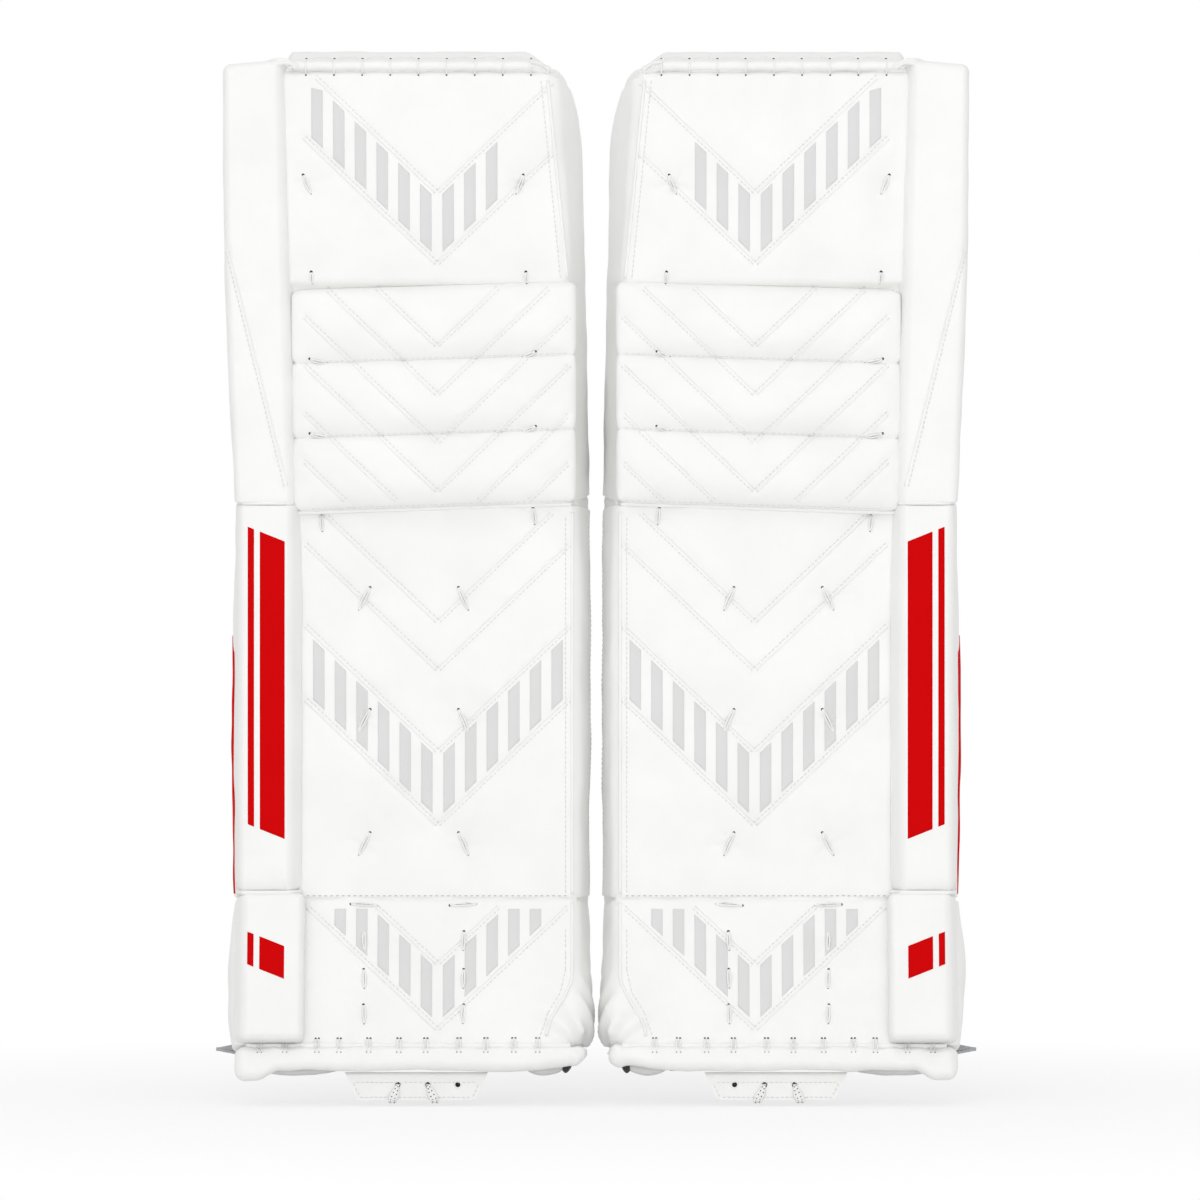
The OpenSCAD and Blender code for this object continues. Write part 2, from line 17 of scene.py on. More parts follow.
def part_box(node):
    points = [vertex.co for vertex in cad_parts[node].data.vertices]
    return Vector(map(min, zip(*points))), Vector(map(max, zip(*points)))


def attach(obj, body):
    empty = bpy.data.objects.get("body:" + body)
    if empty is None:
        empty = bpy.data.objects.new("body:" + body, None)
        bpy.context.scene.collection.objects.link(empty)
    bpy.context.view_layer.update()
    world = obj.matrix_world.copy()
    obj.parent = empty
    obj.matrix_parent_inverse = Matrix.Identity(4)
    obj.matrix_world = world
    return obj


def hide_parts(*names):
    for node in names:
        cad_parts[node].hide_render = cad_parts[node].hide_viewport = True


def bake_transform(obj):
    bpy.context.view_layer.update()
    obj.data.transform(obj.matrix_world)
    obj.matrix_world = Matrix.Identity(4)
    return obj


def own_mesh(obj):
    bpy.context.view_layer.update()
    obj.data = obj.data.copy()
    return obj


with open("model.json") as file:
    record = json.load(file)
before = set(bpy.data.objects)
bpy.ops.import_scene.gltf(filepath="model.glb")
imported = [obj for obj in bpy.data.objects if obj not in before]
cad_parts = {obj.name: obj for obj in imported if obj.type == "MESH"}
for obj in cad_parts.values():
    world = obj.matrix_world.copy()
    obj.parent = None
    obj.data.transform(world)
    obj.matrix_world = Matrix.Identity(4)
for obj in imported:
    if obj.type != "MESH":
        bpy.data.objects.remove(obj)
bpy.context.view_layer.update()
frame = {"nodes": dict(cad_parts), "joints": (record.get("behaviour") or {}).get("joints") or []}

# The two pads: the side that each mirrors to, and the seed of its slack
SIDES = {"left": 1, "right": -1}
SEEDS = {"left": 100, "right": 400}

# Sizes from the frame
MM = 0.001
JOINTS = {joint["name"]: joint for joint in frame["joints"]}


def node_box(node):
    """Lowest and highest corner of a node of the left pad, in millimetres."""
    return [np.array(corner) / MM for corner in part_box("left_" + node)]


def joint_place(name):
    """Place of a joint of the left pad, in millimetres."""
    return np.array(JOINTS["left_" + name]["pos_m"]) / MM


MID, KNEE_Z = joint_place("knee_flex")[1:] * (-1, 1)
BOOT_Z = joint_place("boot_flex")[2]
WING_AXIS = JOINTS["left_knee_wing_open"]["axis"]
LEAN = math.atan2(WING_AXIS[1], -WING_AXIS[2])
(X_IN, _, _), (X_OUT, COVER_BACK, _) = node_box("shin_cover")
ROLL_IN, ROLL_FRONT, _ = node_box("outer_roll_shin")[0]
ROLL_RISE = -ROLL_FRONT - MID
DEPTH = COVER_BACK + MID
BACK_Y = node_box("shin_back")[1][1] + MID
INNER_HINGE, OUTER_HINGE, BRIDGE_HINGE = [
    joint_place(name) + (0, MID, 0)
    for name in ("inner_calf_wing_fold", "outer_calf_wing_open", "toe_bridge_swing")
]

# Sizes of the padding
FLARE = math.radians(12)
WALL_SLOPE = 13.0
LOWER_SLOPE = 9.5
SLOPE_POWER = 1.7
FACE_IN = X_IN + WALL_SLOPE
FACE_MID = (FACE_IN + ROLL_IN) / 2
THIGH_FACE_IN = FACE_IN + 17
COVER_STEP = (2.2, 4, 2.2)
KNEE_ROLL = 58.5
KNEE_ROLL_RISE = 18.0
KNEE_SLANT = 3.5
SLANT_REACH = 60
PANEL_RISE = 13.0
ROLL_TOP = 3 * KNEE_ROLL
ROLL_OVER = 6.0
ROLL_BREAK = 3.0
COVER_TOP = 344.0
THIGH_TOP = 357.0
THIGH_SPLAY = 8.0
SPLAY = THIGH_SPLAY / COVER_TOP
COVER_BOTTOM = -117.0
BOOT_BOTTOM = -136.0
GAP = 0.6
# Radius of the lower and upper end of each length of the outer roll, and lean of its inner and outer side
OUTER_ROLLS = {"thigh": (2, 6, 9.0, 1.5), "shin": (11, 2, 9.0, 4.0), "boot": (6, 4, 1.0, 7.0)}

# Radii of welts and cords
TOP_WELT = 3.7
TOE_WELT = 2.6
KNEE_CORD = 1.7
WING_RIM = 2.9
WING_PIPING = 5.3

# Calf pillow and the blocks of the knee stack
PILLOW_HALF = 56
PILLOW_THICK = 9
STACK_BLOCK = 14
STACK_DEPTH = 77
STACK_Z = (13.0, 99.0)

# Wings: straight run, radius of the curl, height, and lower end in the section's frame
CALF_WING = {"run": 53, "curl": 45, "height": 230, "z_low": BOOT_Z + 35}
INNER_WING = CALF_WING | {"run": 51}
KNEE_WING = {"run": 33, "curl": 40, "height": 74, "z_low": 18}
CURL_ANGLE = math.radians(75)
WING_HALF = 5.0
WING_CORNER = 22
WING_HEM = 7.0

# Straps: width, reach across the back, and degrees that the end hooks round the far wing
CALF_STRAP = {"width": 50, "reach": OUTER_HINGE[0] - INNER_HINGE[0] - 2 * CALF_WING["curl"], "hook": 35}
KNEE_STRAP = {"width": 38, "reach": OUTER_HINGE[0] - KNEE_WING["curl"] - X_IN - 12, "hook": 0}
STRAP_HALF = 1.3

# Boot strap and toe bridge
CLIP_TILT = math.radians(32)
CLIP_HALF_WIDTH = 16.5
CLIP_HALF_THICK = 4.5
CLIP_END = X_IN + 153
WEBBING_TIP = X_OUT + 17
WEBBING_TAPER = 26
BRIDGE_MID = X_IN + 136
BRIDGE_Y = BRIDGE_HINGE[1] - 1.7
BRIDGE_HALF_THICK = 1.5
EYELETS = [BRIDGE_MID - 9 + 23.5 * i for i in (-1, 0, 1)]
EYELET_Z = 15.0

# Lacing and ties: the ends (x, z) of a tie, then the depth and the radius of its dimple
LACE_PITCH = 22.0
TOP_LACES = X_IN + 46
TOE_LACES = FACE_IN + 26
TOE_LACE_SHIFTS = [1.8, -1.5, -1.6, -2.5, 1.5, 0.5, 2.2, 3.5, -1.3, 1.9, -0.3]
THIGH_TIES = [
    ((57.5, 260.5), (62.5, 247.5), 5.5, 23),
    ((229, 260.5), (223.5, 247.5), 3.0, 16),
    ((55, 184.5), (54.5, 177), 2.5, 14),
    ((223, 184.5), (222.5, 177), 2.0, 12),
]
ROLL_TIES = [(48.5, 57.0), (223.5, 211.5)]
ROLL_DIMPLES = (50, 222)
KNEE_TIES = (49.5, 216.5)
SHIN_TIES = [
    ((a, z + 8), (b, z - 8), 3.4, 21) for z in (396, 300, 203) for a, b in ((178.5, 186.5), (108, 101))
]
BOOT_TIES = [
    ((a, z + 6.5), (b, z - 6.5), 2.0, 13) for z in (-34, -64, -92) for a, b in ((182.5, 182), (104, 104.5))
]
CROSS_TIES = [((192, -4.5), (173, -5.5)), ((114, -5.5), (95, -4.5))]

# Pitch, length and radius of stitches
COARSE = (4.4, 3.0)
FINE = (3.6, 2.5)
ROLL_STITCH = (4.6, 3.0, 0.36)
BREAK_STITCH = (4.6, 2.4, 0.36)

# The sewn design: chevrons across the face, with bars in a few of the bands between them
CHEVRON_RISE = 0.95
THIGH_CHEVRONS = [192, 248]
ROLL_CHEVRONS = [-62, -24, 14, 52, 90, 128]
SHIN_CHEVRONS = [218, 276, 340, 378]
BOOT_CHEVRONS = [-104, -52]
# Stripes on the outer roll: their sides, the slant of their ends, and the room below and above them
STRIPES = ((13, 33), (37, 42.5))
STRIPE_SLANT = 0.4
STRIPE_ROOM = {"shin": (35.5, 35), "boot": (42, 48)}
# Strip on the shin's outer wall: its corners (y, z) over the boot break
SIDE_STRIP = [(7, 3), (24, 3), (24, 208), (7, 194)]
# Drop of the slanted seam under the thigh roll's upper end
ROLL_SEAM = 145


class Section:
    """Frame of a padded section, tilted about the line of its break."""

    def __init__(self, body, tilt, height):
        self.body, self.height = body, height
        self.cos, self.sin = math.cos(tilt), math.sin(tilt)

    def place(self, points, side):
        """Points of the section, in millimetres, as points of the row frame, in metres."""
        x, y, z = np.asarray(points, float).T
        depth = y * self.cos - z * self.sin - MID
        height = y * self.sin + z * self.cos + self.height
        return columns(side * x, depth, height) * MM


THIGH = Section("thigh", LEAN, KNEE_Z)
SHIN = Section("shin", 0.0, 0.0)
BOOT = Section("boot", -FLARE, BOOT_Z)


# Fields over a face


def smooth(t):
    """An eased step from 0 to 1."""
    t = np.clip(t, 0.0, 1.0)
    return t * t * (3 - 2 * t)


def unit(vectors):
    """Vectors brought to a length of 1."""
    return vectors / np.maximum(np.linalg.norm(vectors, axis=-1, keepdims=True), 1e-9)


def columns(*values):
    """Values side by side as columns; a single number fills its column."""
    return np.column_stack(np.broadcast_arrays(*values))


def ripples(seed, longest, shortest, count=14):
    """A smooth field of seeded waves, about -1 to 1."""
    heading, phase = np.random.default_rng(seed).uniform(0, math.tau, (2, count))
    length = np.geomspace(longest, shortest, count)
    share = length**0.7 / (length**0.7).sum() * 2.2

    def field(a, b):
        place = np.multiply.outer(a, np.cos(heading)) + np.multiply.outer(b, np.sin(heading))
        return np.sin(place * math.tau / length + phase) @ share

    return field


def distance_to(x, z, a, b):
    """Distance in the face from points to the line from a to b."""
    along = np.subtract(b, a)
    t = np.clip(((x - a[0]) * along[0] + (z - a[1]) * along[1]) / (along @ along), 0, 1)
    return np.hypot(x - a[0] - t * along[0], z - a[1] - t * along[1])


class Relief:
    """Height of a leather face over its padding: slack, sewn seams and tied dimples."""

    def __init__(self, seed, slack, ties=()):
        self.slack, self.seams = slack, []
        self.wave, self.fine = ripples(seed, 160, 26), ripples(seed + 50, 30, 9)
        self.dimples = [(np.add(a, b) / 2, depth, radius) for a, b, depth, radius in ties]

    def sew(self, lines, depth=0.8, width=3.2):
        self.seams += [(a, b, depth, width) for a, b in lines]

    def height(self, x, z):
        total, pull = self.slack * self.wave(x, z), np.zeros_like(x)
        for a, b, depth, width in self.seams:
            d = distance_to(x, z, a, b)
            total -= depth * np.exp(-((d / width) ** 2))
            pull = np.maximum(pull, np.exp(-d / 14))
        for centre, depth, radius in self.dimples:
            d = np.hypot(x - centre[0], z - centre[1])
            angle = np.arctan2(z - centre[1], x - centre[0])
            folds = 1 + 0.22 * np.sin(5 * angle + centre[0]) * np.exp(-d / radius)
            total -= depth * folds * np.exp(-((d / radius) ** 1.5))
            pull = np.maximum(pull, np.exp(-d / 20))
        return total + 0.35 * pull * self.fine(x, z)


def knee_rise(x):
    """Height of the knee break over its hinge, which climbs inwards and steps up at the outer roll."""
    return np.interp(x, [FACE_IN, ROLL_IN, ROLL_IN + 12], [KNEE_SLANT, -KNEE_SLANT, ROLL_BREAK])


def roll_slant(x):
    """Climb of a knee roll to the inner edge."""
    return np.interp(x, [FACE_IN, ROLL_IN], [KNEE_SLANT, -KNEE_SLANT])


def pinch(x, phase, pitch=LACE_PITCH):
    """1 at each lace and 0 midway between two."""
    return 0.5 + 0.5 * np.cos((x - phase) * math.tau / pitch)


# Meshes


def axis_places(low, high, r_low, r_high, step):
    """Places along one axis of a block, closer together within its rounded edges."""
    bend = 1 - np.tan(np.linspace(math.pi / 4, 0, 6))[:-1]
    count = max(2, int(round((high - low - r_low - r_high) / step)) + 1)
    middle = np.linspace(low + r_low, high - r_high, count)
    return np.concatenate((low + r_low * bend, middle, (high - r_high * bend)[::-1]))


def grid_quads(index):
    """Quads between the neighbours in a grid of point numbers."""
    return np.stack((index[:-1, :-1], index[1:, :-1], index[1:, 1:], index[:-1, 1:]), -1).reshape(-1, 4)


def box_surface(places):
    """Points and quads of a closed grid over a block's six sides."""
    counts = [len(p) for p in places]
    index = np.arange(math.prod(counts)).reshape(counts, order="F")
    quads = np.concatenate([grid_quads(index.take(end, axis)) for axis in range(3) for end in (0, -1)])
    used, quads = np.unique(quads, return_inverse=True)
    corners = np.unravel_index(used, counts, order="F")
    return np.column_stack([p[corner] for p, corner in zip(places, corners)]), quads.reshape(-1, 4)


def soft_box(low, high, edges_low, edges_high, step):
    """Points, outward directions and quads of a block; its edges are rounded by axis and end."""
    low, high = np.asarray(low, float), np.asarray(high, float)
    r_low, r_high = [np.minimum(edges, (high - low) / 2 - 0.01) for edges in (edges_low, edges_high)]
    sizes = zip(low, high, r_low, r_high, np.broadcast_to(step, 3))
    points, quads = box_surface([axis_places(*size) for size in sizes])
    inner = np.clip(points, low + r_low, high - r_high)
    radii = np.where(points < inner, r_low, r_high)
    outward = unit((points - inner) / radii)
    return inner + outward * radii, outward, quads


def add_object(name, data):
    obj = bpy.data.objects.new(name, data)
    bpy.context.scene.collection.objects.link(obj)
    return obj


def add_mesh(name, points, faces, *materials):
    """A smooth-shaded mesh object from points in metres."""
    mesh = bpy.data.meshes.new(name)
    mesh.from_pydata(np.asarray(points).tolist(), [], [[int(i) for i in face] for face in faces])
    edit = bmesh.new()
    edit.from_mesh(mesh)
    bmesh.ops.recalc_face_normals(edit, faces=edit.faces)
    edit.to_mesh(mesh)
    edit.free()
    for material in materials:
        mesh.materials.append(material)
    mesh.shade_smooth()
    return add_object(name, mesh)


SETTLED = {}


def puffed(name, points, quads, held, pressure=4.0, cap=4.0, voxel=4.5):
    """Swells a closed block in a cloth simulation; the points that held() picks stay in place.

    Gives points, outward directions and faces, the same for both pads.
    """
    if name not in SETTLED:
        obj = add_mesh("puff", points * MM, quads)
        settle(obj, held, pressure, cap, voxel)
        faces = [list(polygon.vertices) for polygon in obj.data.polygons]
        SETTLED[name] = mesh_points(obj) / MM, triples(obj.data.vertex_normals, "vector"), faces
        bpy.data.objects.remove(obj)
    points, outward, faces = SETTLED[name]
    return points.copy(), outward.copy(), faces


def settle(obj, held, pressure, cap, voxel, frames=20):
    remesh = obj.modifiers.new("remesh", "REMESH")
    remesh.mode, remesh.voxel_size = "VOXEL", voxel * MM
    freeze(obj)
    start = mesh_points(obj)
    group = obj.vertex_groups.new(name="held")
    group.add(np.nonzero(held(start / MM))[0].tolist(), 1.0, "REPLACE")
    cloth = obj.modifiers.new("cloth", "CLOTH")
    cloth.settings.vertex_group_mass = "held"
    cloth.settings.use_pressure = True
    cloth.settings.uniform_pressure_force = pressure
    cloth.settings.effector_weights.gravity = 0.0
    cloth.point_cache.frame_end = frames
    for number in range(1, frames + 1):
        bpy.context.scene.frame_set(number)
    freeze(obj)
    bpy.context.scene.frame_set(1)
    moved = mesh_points(obj) - start
    far = np.linalg.norm(moved, axis=1, keepdims=True)
    settled = start + moved * np.minimum(1, cap * MM / np.maximum(far, 1e-9))
    obj.data.vertices.foreach_set("co", settled.astype(np.float32).ravel())
    obj.data.update()
    obj.modifiers.new("smooth", "SUBSURF").levels = 1
    freeze(obj)


def freeze(obj):
    """Applies an object's modifiers to its mesh."""
    shown = obj.evaluated_get(bpy.context.evaluated_depsgraph_get())
    mesh = bpy.data.meshes.new_from_object(shown)
    obj.modifiers.clear()
    obj.data = mesh


def triples(items, key):
    """A value of three numbers of every item."""
    values = np.empty(len(items) * 3, np.float32)
    items.foreach_get(key, values)
    return values.reshape(-1, 3).astype(float)


def mesh_points(obj):
    return triples(obj.data.vertices, "co")


class Parts:
    """Collects small solids into one mesh."""

    def __init__(self, *solids):
        self.points, self.faces = [], []
        for solid in solids:
            self.add(*solid)

    def add(self, points, faces):
        first = len(self.points)
        self.points += np.asarray(points, float).tolist()
        self.faces += [[int(i) + first for i in face] for face in faces]


def loft(rings, closed=False):
    """Points and faces of a solid through rings of points; closed joins the last ring to the first."""
    rings = np.asarray(rings, float)
    index = np.arange(rings.shape[0] * rings.shape[1]).reshape(rings.shape[:2])
    round_index = np.column_stack((index, index[:, 0]))
    if closed:
        return rings.reshape(-1, 3), grid_quads(np.vstack((round_index, round_index[:1]))).tolist()
    return rings.reshape(-1, 3), [*grid_quads(round_index).tolist(), index[0].tolist(), index[-1].tolist()]


def circle(across, over, sides):
    """Points of a circle of radius 1 in the plane of two directions."""
    turn = np.linspace(0, math.tau, sides, endpoint=False)[:, None]
    return across * np.cos(turn) + over * np.sin(turn)


def rectangle(left, bottom, right, top):
    return np.array([(left, bottom), (right, bottom), (right, top), (left, top)], float)


def circle_at(degrees):
    """The point of a circle of radius 1 at an angle."""
    return np.array([math.cos(math.radians(degrees)), math.sin(math.radians(degrees))])


def tube(points, radius, sides=8, up=None):
    """A closed round cord along a line of points; up is a way that the line never takes."""
    line = np.asarray(points, float)
    along = unit(np.gradient(line, axis=0))
    if up is None:
        up = (0.0, -1.0, 0.0) if abs(along[0][1]) < 0.8 else (1.0, 0.0, 0.0)
    across = unit(np.cross(along, up))
    return loft(line[:, None] + radius * circle(across[:, None], np.cross(across, along)[:, None], sides))


RIBBON_EDGE = [(-0.5, 0.2), (-0.4, 0.5), (-0.1, 0.42), (0.1, 0.42), (0.4, 0.5), (0.5, 0.2)]


def ribbon(line, across, widths, thick):
    """A closed flat band along a line; across is the way of its width."""
    along = unit(np.gradient(line, axis=0))
    wide = unit(across - along * (along @ across)[:, None])
    over = thick * np.cross(wide, along)
    u, v = np.array(RIBBON_EDGE + [(u, -v) for u, v in RIBBON_EDGE[::-1]]).T[..., None]
    return loft(line[:, None] + (wide * widths[:, None])[:, None] * u + over[:, None] * v)


def curve_through(points, count=24):
    """A smooth line through a few points (Catmull-Rom)."""
    p = np.asarray(points, float)
    p = np.vstack((2 * p[0] - p[1], p, 2 * p[-1] - p[-2]))
    t = np.linspace(0, len(p) - 3 - 1e-6, count)
    i = t.astype(int)
    f = (t - i)[:, None]
    a, b, c, d = [p[i + k] for k in range(4)]
    square, cube = 2 * a - 5 * b + 4 * c - d, 3 * b - a - 3 * c + d
    return 0.5 * (2 * b + (c - a) * f + square * f**2 + cube * f**3)


class Surface:
    """The outside of one or more pieces, seen from in front, from behind or from a side.

    Places are (x, z) from in front and from behind, and (y, z) from a side.
    """

    LOOKS = {"front": (0, 1, 0), "back": (0, -1, 0), "side": (-1, 0, 0), "inside": (1, 0, 0)}

    def __init__(self, *pieces, seen="front"):
        whole = Parts(*pieces)
        self.look = np.array(self.LOOKS[seen], float)
        self.tree = BVHTree.FromPolygons(whole.points, whole.faces)

    def drop(self, a, b):
        """The point at a place in the face, and the way that the surface looks there."""
        start = -600 * self.look + ((0, a, b) if self.look[0] else (a, 0, b))
        hit, normal, _, _ = self.tree.ray_cast(Vector(start), Vector(self.look))
        if hit is None:
            return None, None
        normal = np.array(normal)
        return np.array(hit), normal if normal @ self.look < 0 else -normal


STITCH_RINGS = [(-0.38, 0.85), (0.0, 1.0), (0.38, 0.85)]
STITCH_FACES = [
    face
    for k, j in zip(range(5), (1, 2, 3, 4, 0))
    for face in ([k, j, 5 + j, 5 + k], [5 + k, 5 + j, 10 + j, 10 + k], [15, j, k], [16, 10 + k, 10 + j])
]


def add_stitch(parts, p, q, normal, radius):
    """One thread stitch from p to q."""
    along = q - p
    middle = (p + q) / 2 + normal * radius * 0.35
    ring = radius * circle(unit(np.cross(along, normal)), normal, 5)
    rings = [middle + along * t + ring * r for t, r in STITCH_RINGS]
    parts.add(np.vstack((*rings, middle - along * 0.5, middle + along * 0.5)), STITCH_FACES)


def add_stitches(parts, surface, a, b, pitch=3.9, length=2.7, radius=0.42, aside=0.0):
    """A row of thread stitches over the face from a to b, moved sideways in the face."""
    a, b = np.array((a, b), float)
    way = unit(b - a)
    a = a + np.array([-way[1], way[0]]) * aside
    for s in np.arange(pitch / 2, np.linalg.norm(b - a), pitch):
        (p, normal), (q, _) = [surface.drop(*(a + way * (s + k * length / 2))) for k in (-1, 1)]
        if p is not None and q is not None and np.linalg.norm(q - p) < 2 * length:
            add_stitch(parts, p, q, normal, radius)


def add_seam(thread, edges, surface, a, b, gauge=1.5):
    """A lapped seam: the edge of the upper leather and a row of stitches beside it."""
    a, b = np.array((a, b), float)
    add_stitches(thread, surface, a, b, aside=gauge)
    length, way = np.linalg.norm(b - a), unit(b - a)
    first = a - np.array([-way[1], way[0]]) * gauge
    paths = [[]]
    for s in np.linspace(1, length - 1, max(4, int(length / 2.5))):
        hit, normal = surface.drop(*(first + way * s))
        if hit is None or (paths[-1] and np.linalg.norm(hit - paths[-1][-1]) > 3.4):
            paths.append([])
        if hit is not None:
            paths[-1].append(hit + normal * 0.1)
    for path in paths:
        if len(path) > 3:
            edges.add(*tube(path, 0.6, 6))


def add_patch(parts, surface, corners, step=2.5, lift=0.35, rim=0.6):
    """A thin leather patch between four corners in the face, its rim and back sunk in the surface."""
    a, b, c, d = np.asarray(corners, float)
    places = []
    for length in (np.linalg.norm(b - a), np.linalg.norm(d - a)):
        inner = np.linspace(rim / length, 1 - rim / length, max(3, int(length / step) + 2))
        places.append(np.concatenate(([0.0], inner, [1.0])))
    u, v = np.meshgrid(*places)
    index, n = np.arange(u.size).reshape(u.shape), u.size
    u, v = u.reshape(-1, 1), v.reshape(-1, 1)
    hits = [surface.drop(*at) for at in (1 - v) * ((1 - u) * a + u * b) + v * ((1 - u) * d + u * c)]
    if any(hit is None for hit, _ in hits):
        return
    hit, normal = np.array(hits).swapaxes(0, 1)
    at_rim = (np.minimum(u, v) == 0) | (np.maximum(u, v) == 1)
    over, under = hit + normal * np.where(at_rim, -0.25, lift), hit - normal * 0.5
    border = np.concatenate((index[0, :-1], index[:-1, -1], index[-1, :0:-1], index[:0:-1, 0]))
    walls = np.column_stack((border, np.roll(border, -1), np.roll(border, -1) + n, border + n))
    top = grid_quads(index)
    parts.add(np.vstack((over, under)), np.concatenate((top, top + n, walls)))


def add_disc(parts, centre, normal, radius, lift=0.2, sides=12):
    """A small dished disc on a face."""
    across = unit(np.cross(normal, [0.3, 0.2, 1.0]))
    ring = radius * circle(across, np.cross(normal, across), sides)
    points, faces = loft([centre - normal * 0.3 + ring, centre + normal * lift + ring * 0.6])
    rim = faces.pop()
    dish = [[a, b, 2 * sides] for a, b in zip(rim, rim[1:] + rim[:1])]
    parts.add(np.vstack((points, centre + normal * 0.02)), faces + dish)


def add_hole_shade(parts, surface, place, radius):
    """A dark disc at a place in the face: painted shade inside a lace hole."""
    centre, normal = surface.drop(*place)
    if centre is not None:
        add_disc(parts, centre, normal, radius)


def add_tie(cords, holes, surface, a, b, radius=0.7, lift=1.0, strands=2):
    """A tie of lace between two holes in the face: a long loop of one or two strands."""
    a, b = np.array((a, b), float)
    (p, n), (q, m), (middle, up) = [surface.drop(*at) for at in (a, b, (a + b) / 2)]
    if p is None or q is None:
        return
    if middle is None:
        middle, up = (p + q) / 2, n
    aside = unit(np.cross(q - p, n)) * radius * 1.45
    over = max((p + q)[1] / 2 - middle[1], 0.0)
    for way in (-1, 1) if strands == 2 else (0,):
        apart = aside * way
        line = [p - n * 2.0, p + n * 0.5 + apart * 0.5, (p + q) / 2 + up * (lift + over) + apart]
        line += [q + m * 0.5 + apart * 0.5, q - m * 2.0]
        cords.add(*tube(curve_through(line, 14), radius))
    # Dark discs beside the cord's ends: painted shade of the holes that it goes into
    beyond = unit(b - a)
    add_hole_shade(holes, surface, a - beyond * 1.0, 0.8 + 0.35 * strands)
    add_hole_shade(holes, surface, b + beyond * 0.7, 0.6 + 0.2 * strands)


def add_piping(parts, surface, line, radius=1.3, sink=0.2):
    """A welt along a line of places in the face."""
    hits = [surface.drop(x, z) for x, z in line]
    path = [p + n * (radius * 0.5 - sink) for p, n in hits if p is not None]
    if len(path) > 3:
        parts.add(*tube(path, radius))


def set_inputs(tree, node, inputs):
    """Sets a node's inputs to values, or links them to other nodes' outputs."""
    for key, value in inputs.items():
        if isinstance(value, bpy.types.NodeSocket):
            tree.links.new(value, node.inputs[key])
        else:
            node.inputs[key].default_value = value


def add_node(tree, kind, inputs={}, operation=None):
    node = tree.nodes.new("ShaderNode" + kind)
    if operation:
        node.operation = operation
    set_inputs(tree, node, inputs)
    return node


def new_material(name):
    """A material for a slot, with its node tree and its object coordinates."""
    material = bpy.data.materials.new(name)
    material.use_nodes = True
    return material, material.node_tree, add_node(material.node_tree, "TexCoord").outputs["Object"]


def two_shades(tree, value, low, high, first, second):
    """A colour between two, by a texture's value from low to high."""
    ramp = add_node(tree, "ValToRGB", {"Fac": value})
    for stop, place, colour in zip(ramp.color_ramp.elements, (low, high), (first, second)):
        stop.position, stop.color = place, (*colour, 1)
    return ramp.outputs["Color"]


def set_surface(tree, colour, roughness, height, strength, distance, **others):
    """Sets the shader's colour, roughness and bump, and other inputs by name."""
    bump = add_node(tree, "Bump", {"Height": height, "Strength": strength, "Distance": distance})
    inputs = {"Base Color": colour, "Roughness": roughness, "Normal": bump.outputs["Normal"]}
    inputs |= {name.replace("_", " "): value for name, value in others.items()}
    set_inputs(tree, tree.nodes["Principled BSDF"], inputs)


def leather(name, colour, roughness=0.42, grain=0.12, specular=0.42):
    """Coated synthetic leather: fine pebbled grain, faint mottling and an uneven sheen."""
    material, tree, space = new_material(name)
    mottle = add_node(tree, "TexNoise", {"Vector": space, "Scale": 22.0, "Detail": 4.0}).outputs["Fac"]
    pebble = add_node(tree, "TexVoronoi", {"Vector": space, "Scale": 780.0}).outputs["Distance"]
    crease = add_node(tree, "TexNoise", {"Vector": space, "Scale": 320.0, "Detail": 5.0}).outputs["Fac"]
    height = add_node(tree, "Math", {0: pebble, 1: 0.7, 2: crease}, "MULTIPLY_ADD").outputs[0]
    sheen = {"Value": crease, "To Min": roughness - 0.07, "To Max": roughness + 0.09}
    sheen = add_node(tree, "MapRange", sheen).outputs["Result"]
    shades = two_shades(tree, mottle, 0.3, 0.7, [c * 0.965 for c in colour], colour)
    set_surface(tree, shades, sheen, height, grain, 0.0006, Specular_IOR_Level=specular)
    return material


def woven(name, colour, accent, pitch):
    """Plain-woven cloth: crossed yarns of a set pitch, in metres, in two shades."""
    material, tree, space = new_material(name)
    waves = {}
    for key, direction in enumerate("XZ"):
        wave = add_node(tree, "TexWave", {"Vector": space, "Scale": 0.31 / pitch, "Distortion": 0.4})
        wave.bands_direction = direction
        waves[key] = wave.outputs["Fac"]
    cross = add_node(tree, "Math", waves, "MULTIPLY").outputs[0]
    shades = two_shades(tree, cross, 0.1, 0.8, colour, accent)
    set_surface(tree, shades, 0.75, cross, 0.5, pitch * 0.35, Sheen_Weight=0.15)
    return material


def plastic(name, colour, roughness=0.4):
    """Moulded plastic with a fine spark-eroded texture."""
    material, tree, space = new_material(name)
    noise = add_node(tree, "TexNoise", {"Vector": space, "Scale": 900.0, "Detail": 3.0}).outputs["Fac"]
    shades = two_shades(tree, noise, 0.3, 0.7, colour, [min(1.0, c * 1.25 + 0.01) for c in colour])
    set_surface(tree, shades, roughness, noise, 0.15, 0.0003)
    return material


def braid(name, colour, accent, pitch):
    """Braided cord: a fine diamond of two yarn shades."""
    material, tree, space = new_material(name)
    shades = {"Color1": (*colour, 1), "Color2": (*accent, 1)}
    check = add_node(tree, "TexChecker", {"Vector": space, "Scale": 1.0 / pitch, **shades}).outputs
    set_surface(tree, check["Color"], 0.6, check["Fac"], 0.5, 0.0002)
    return material


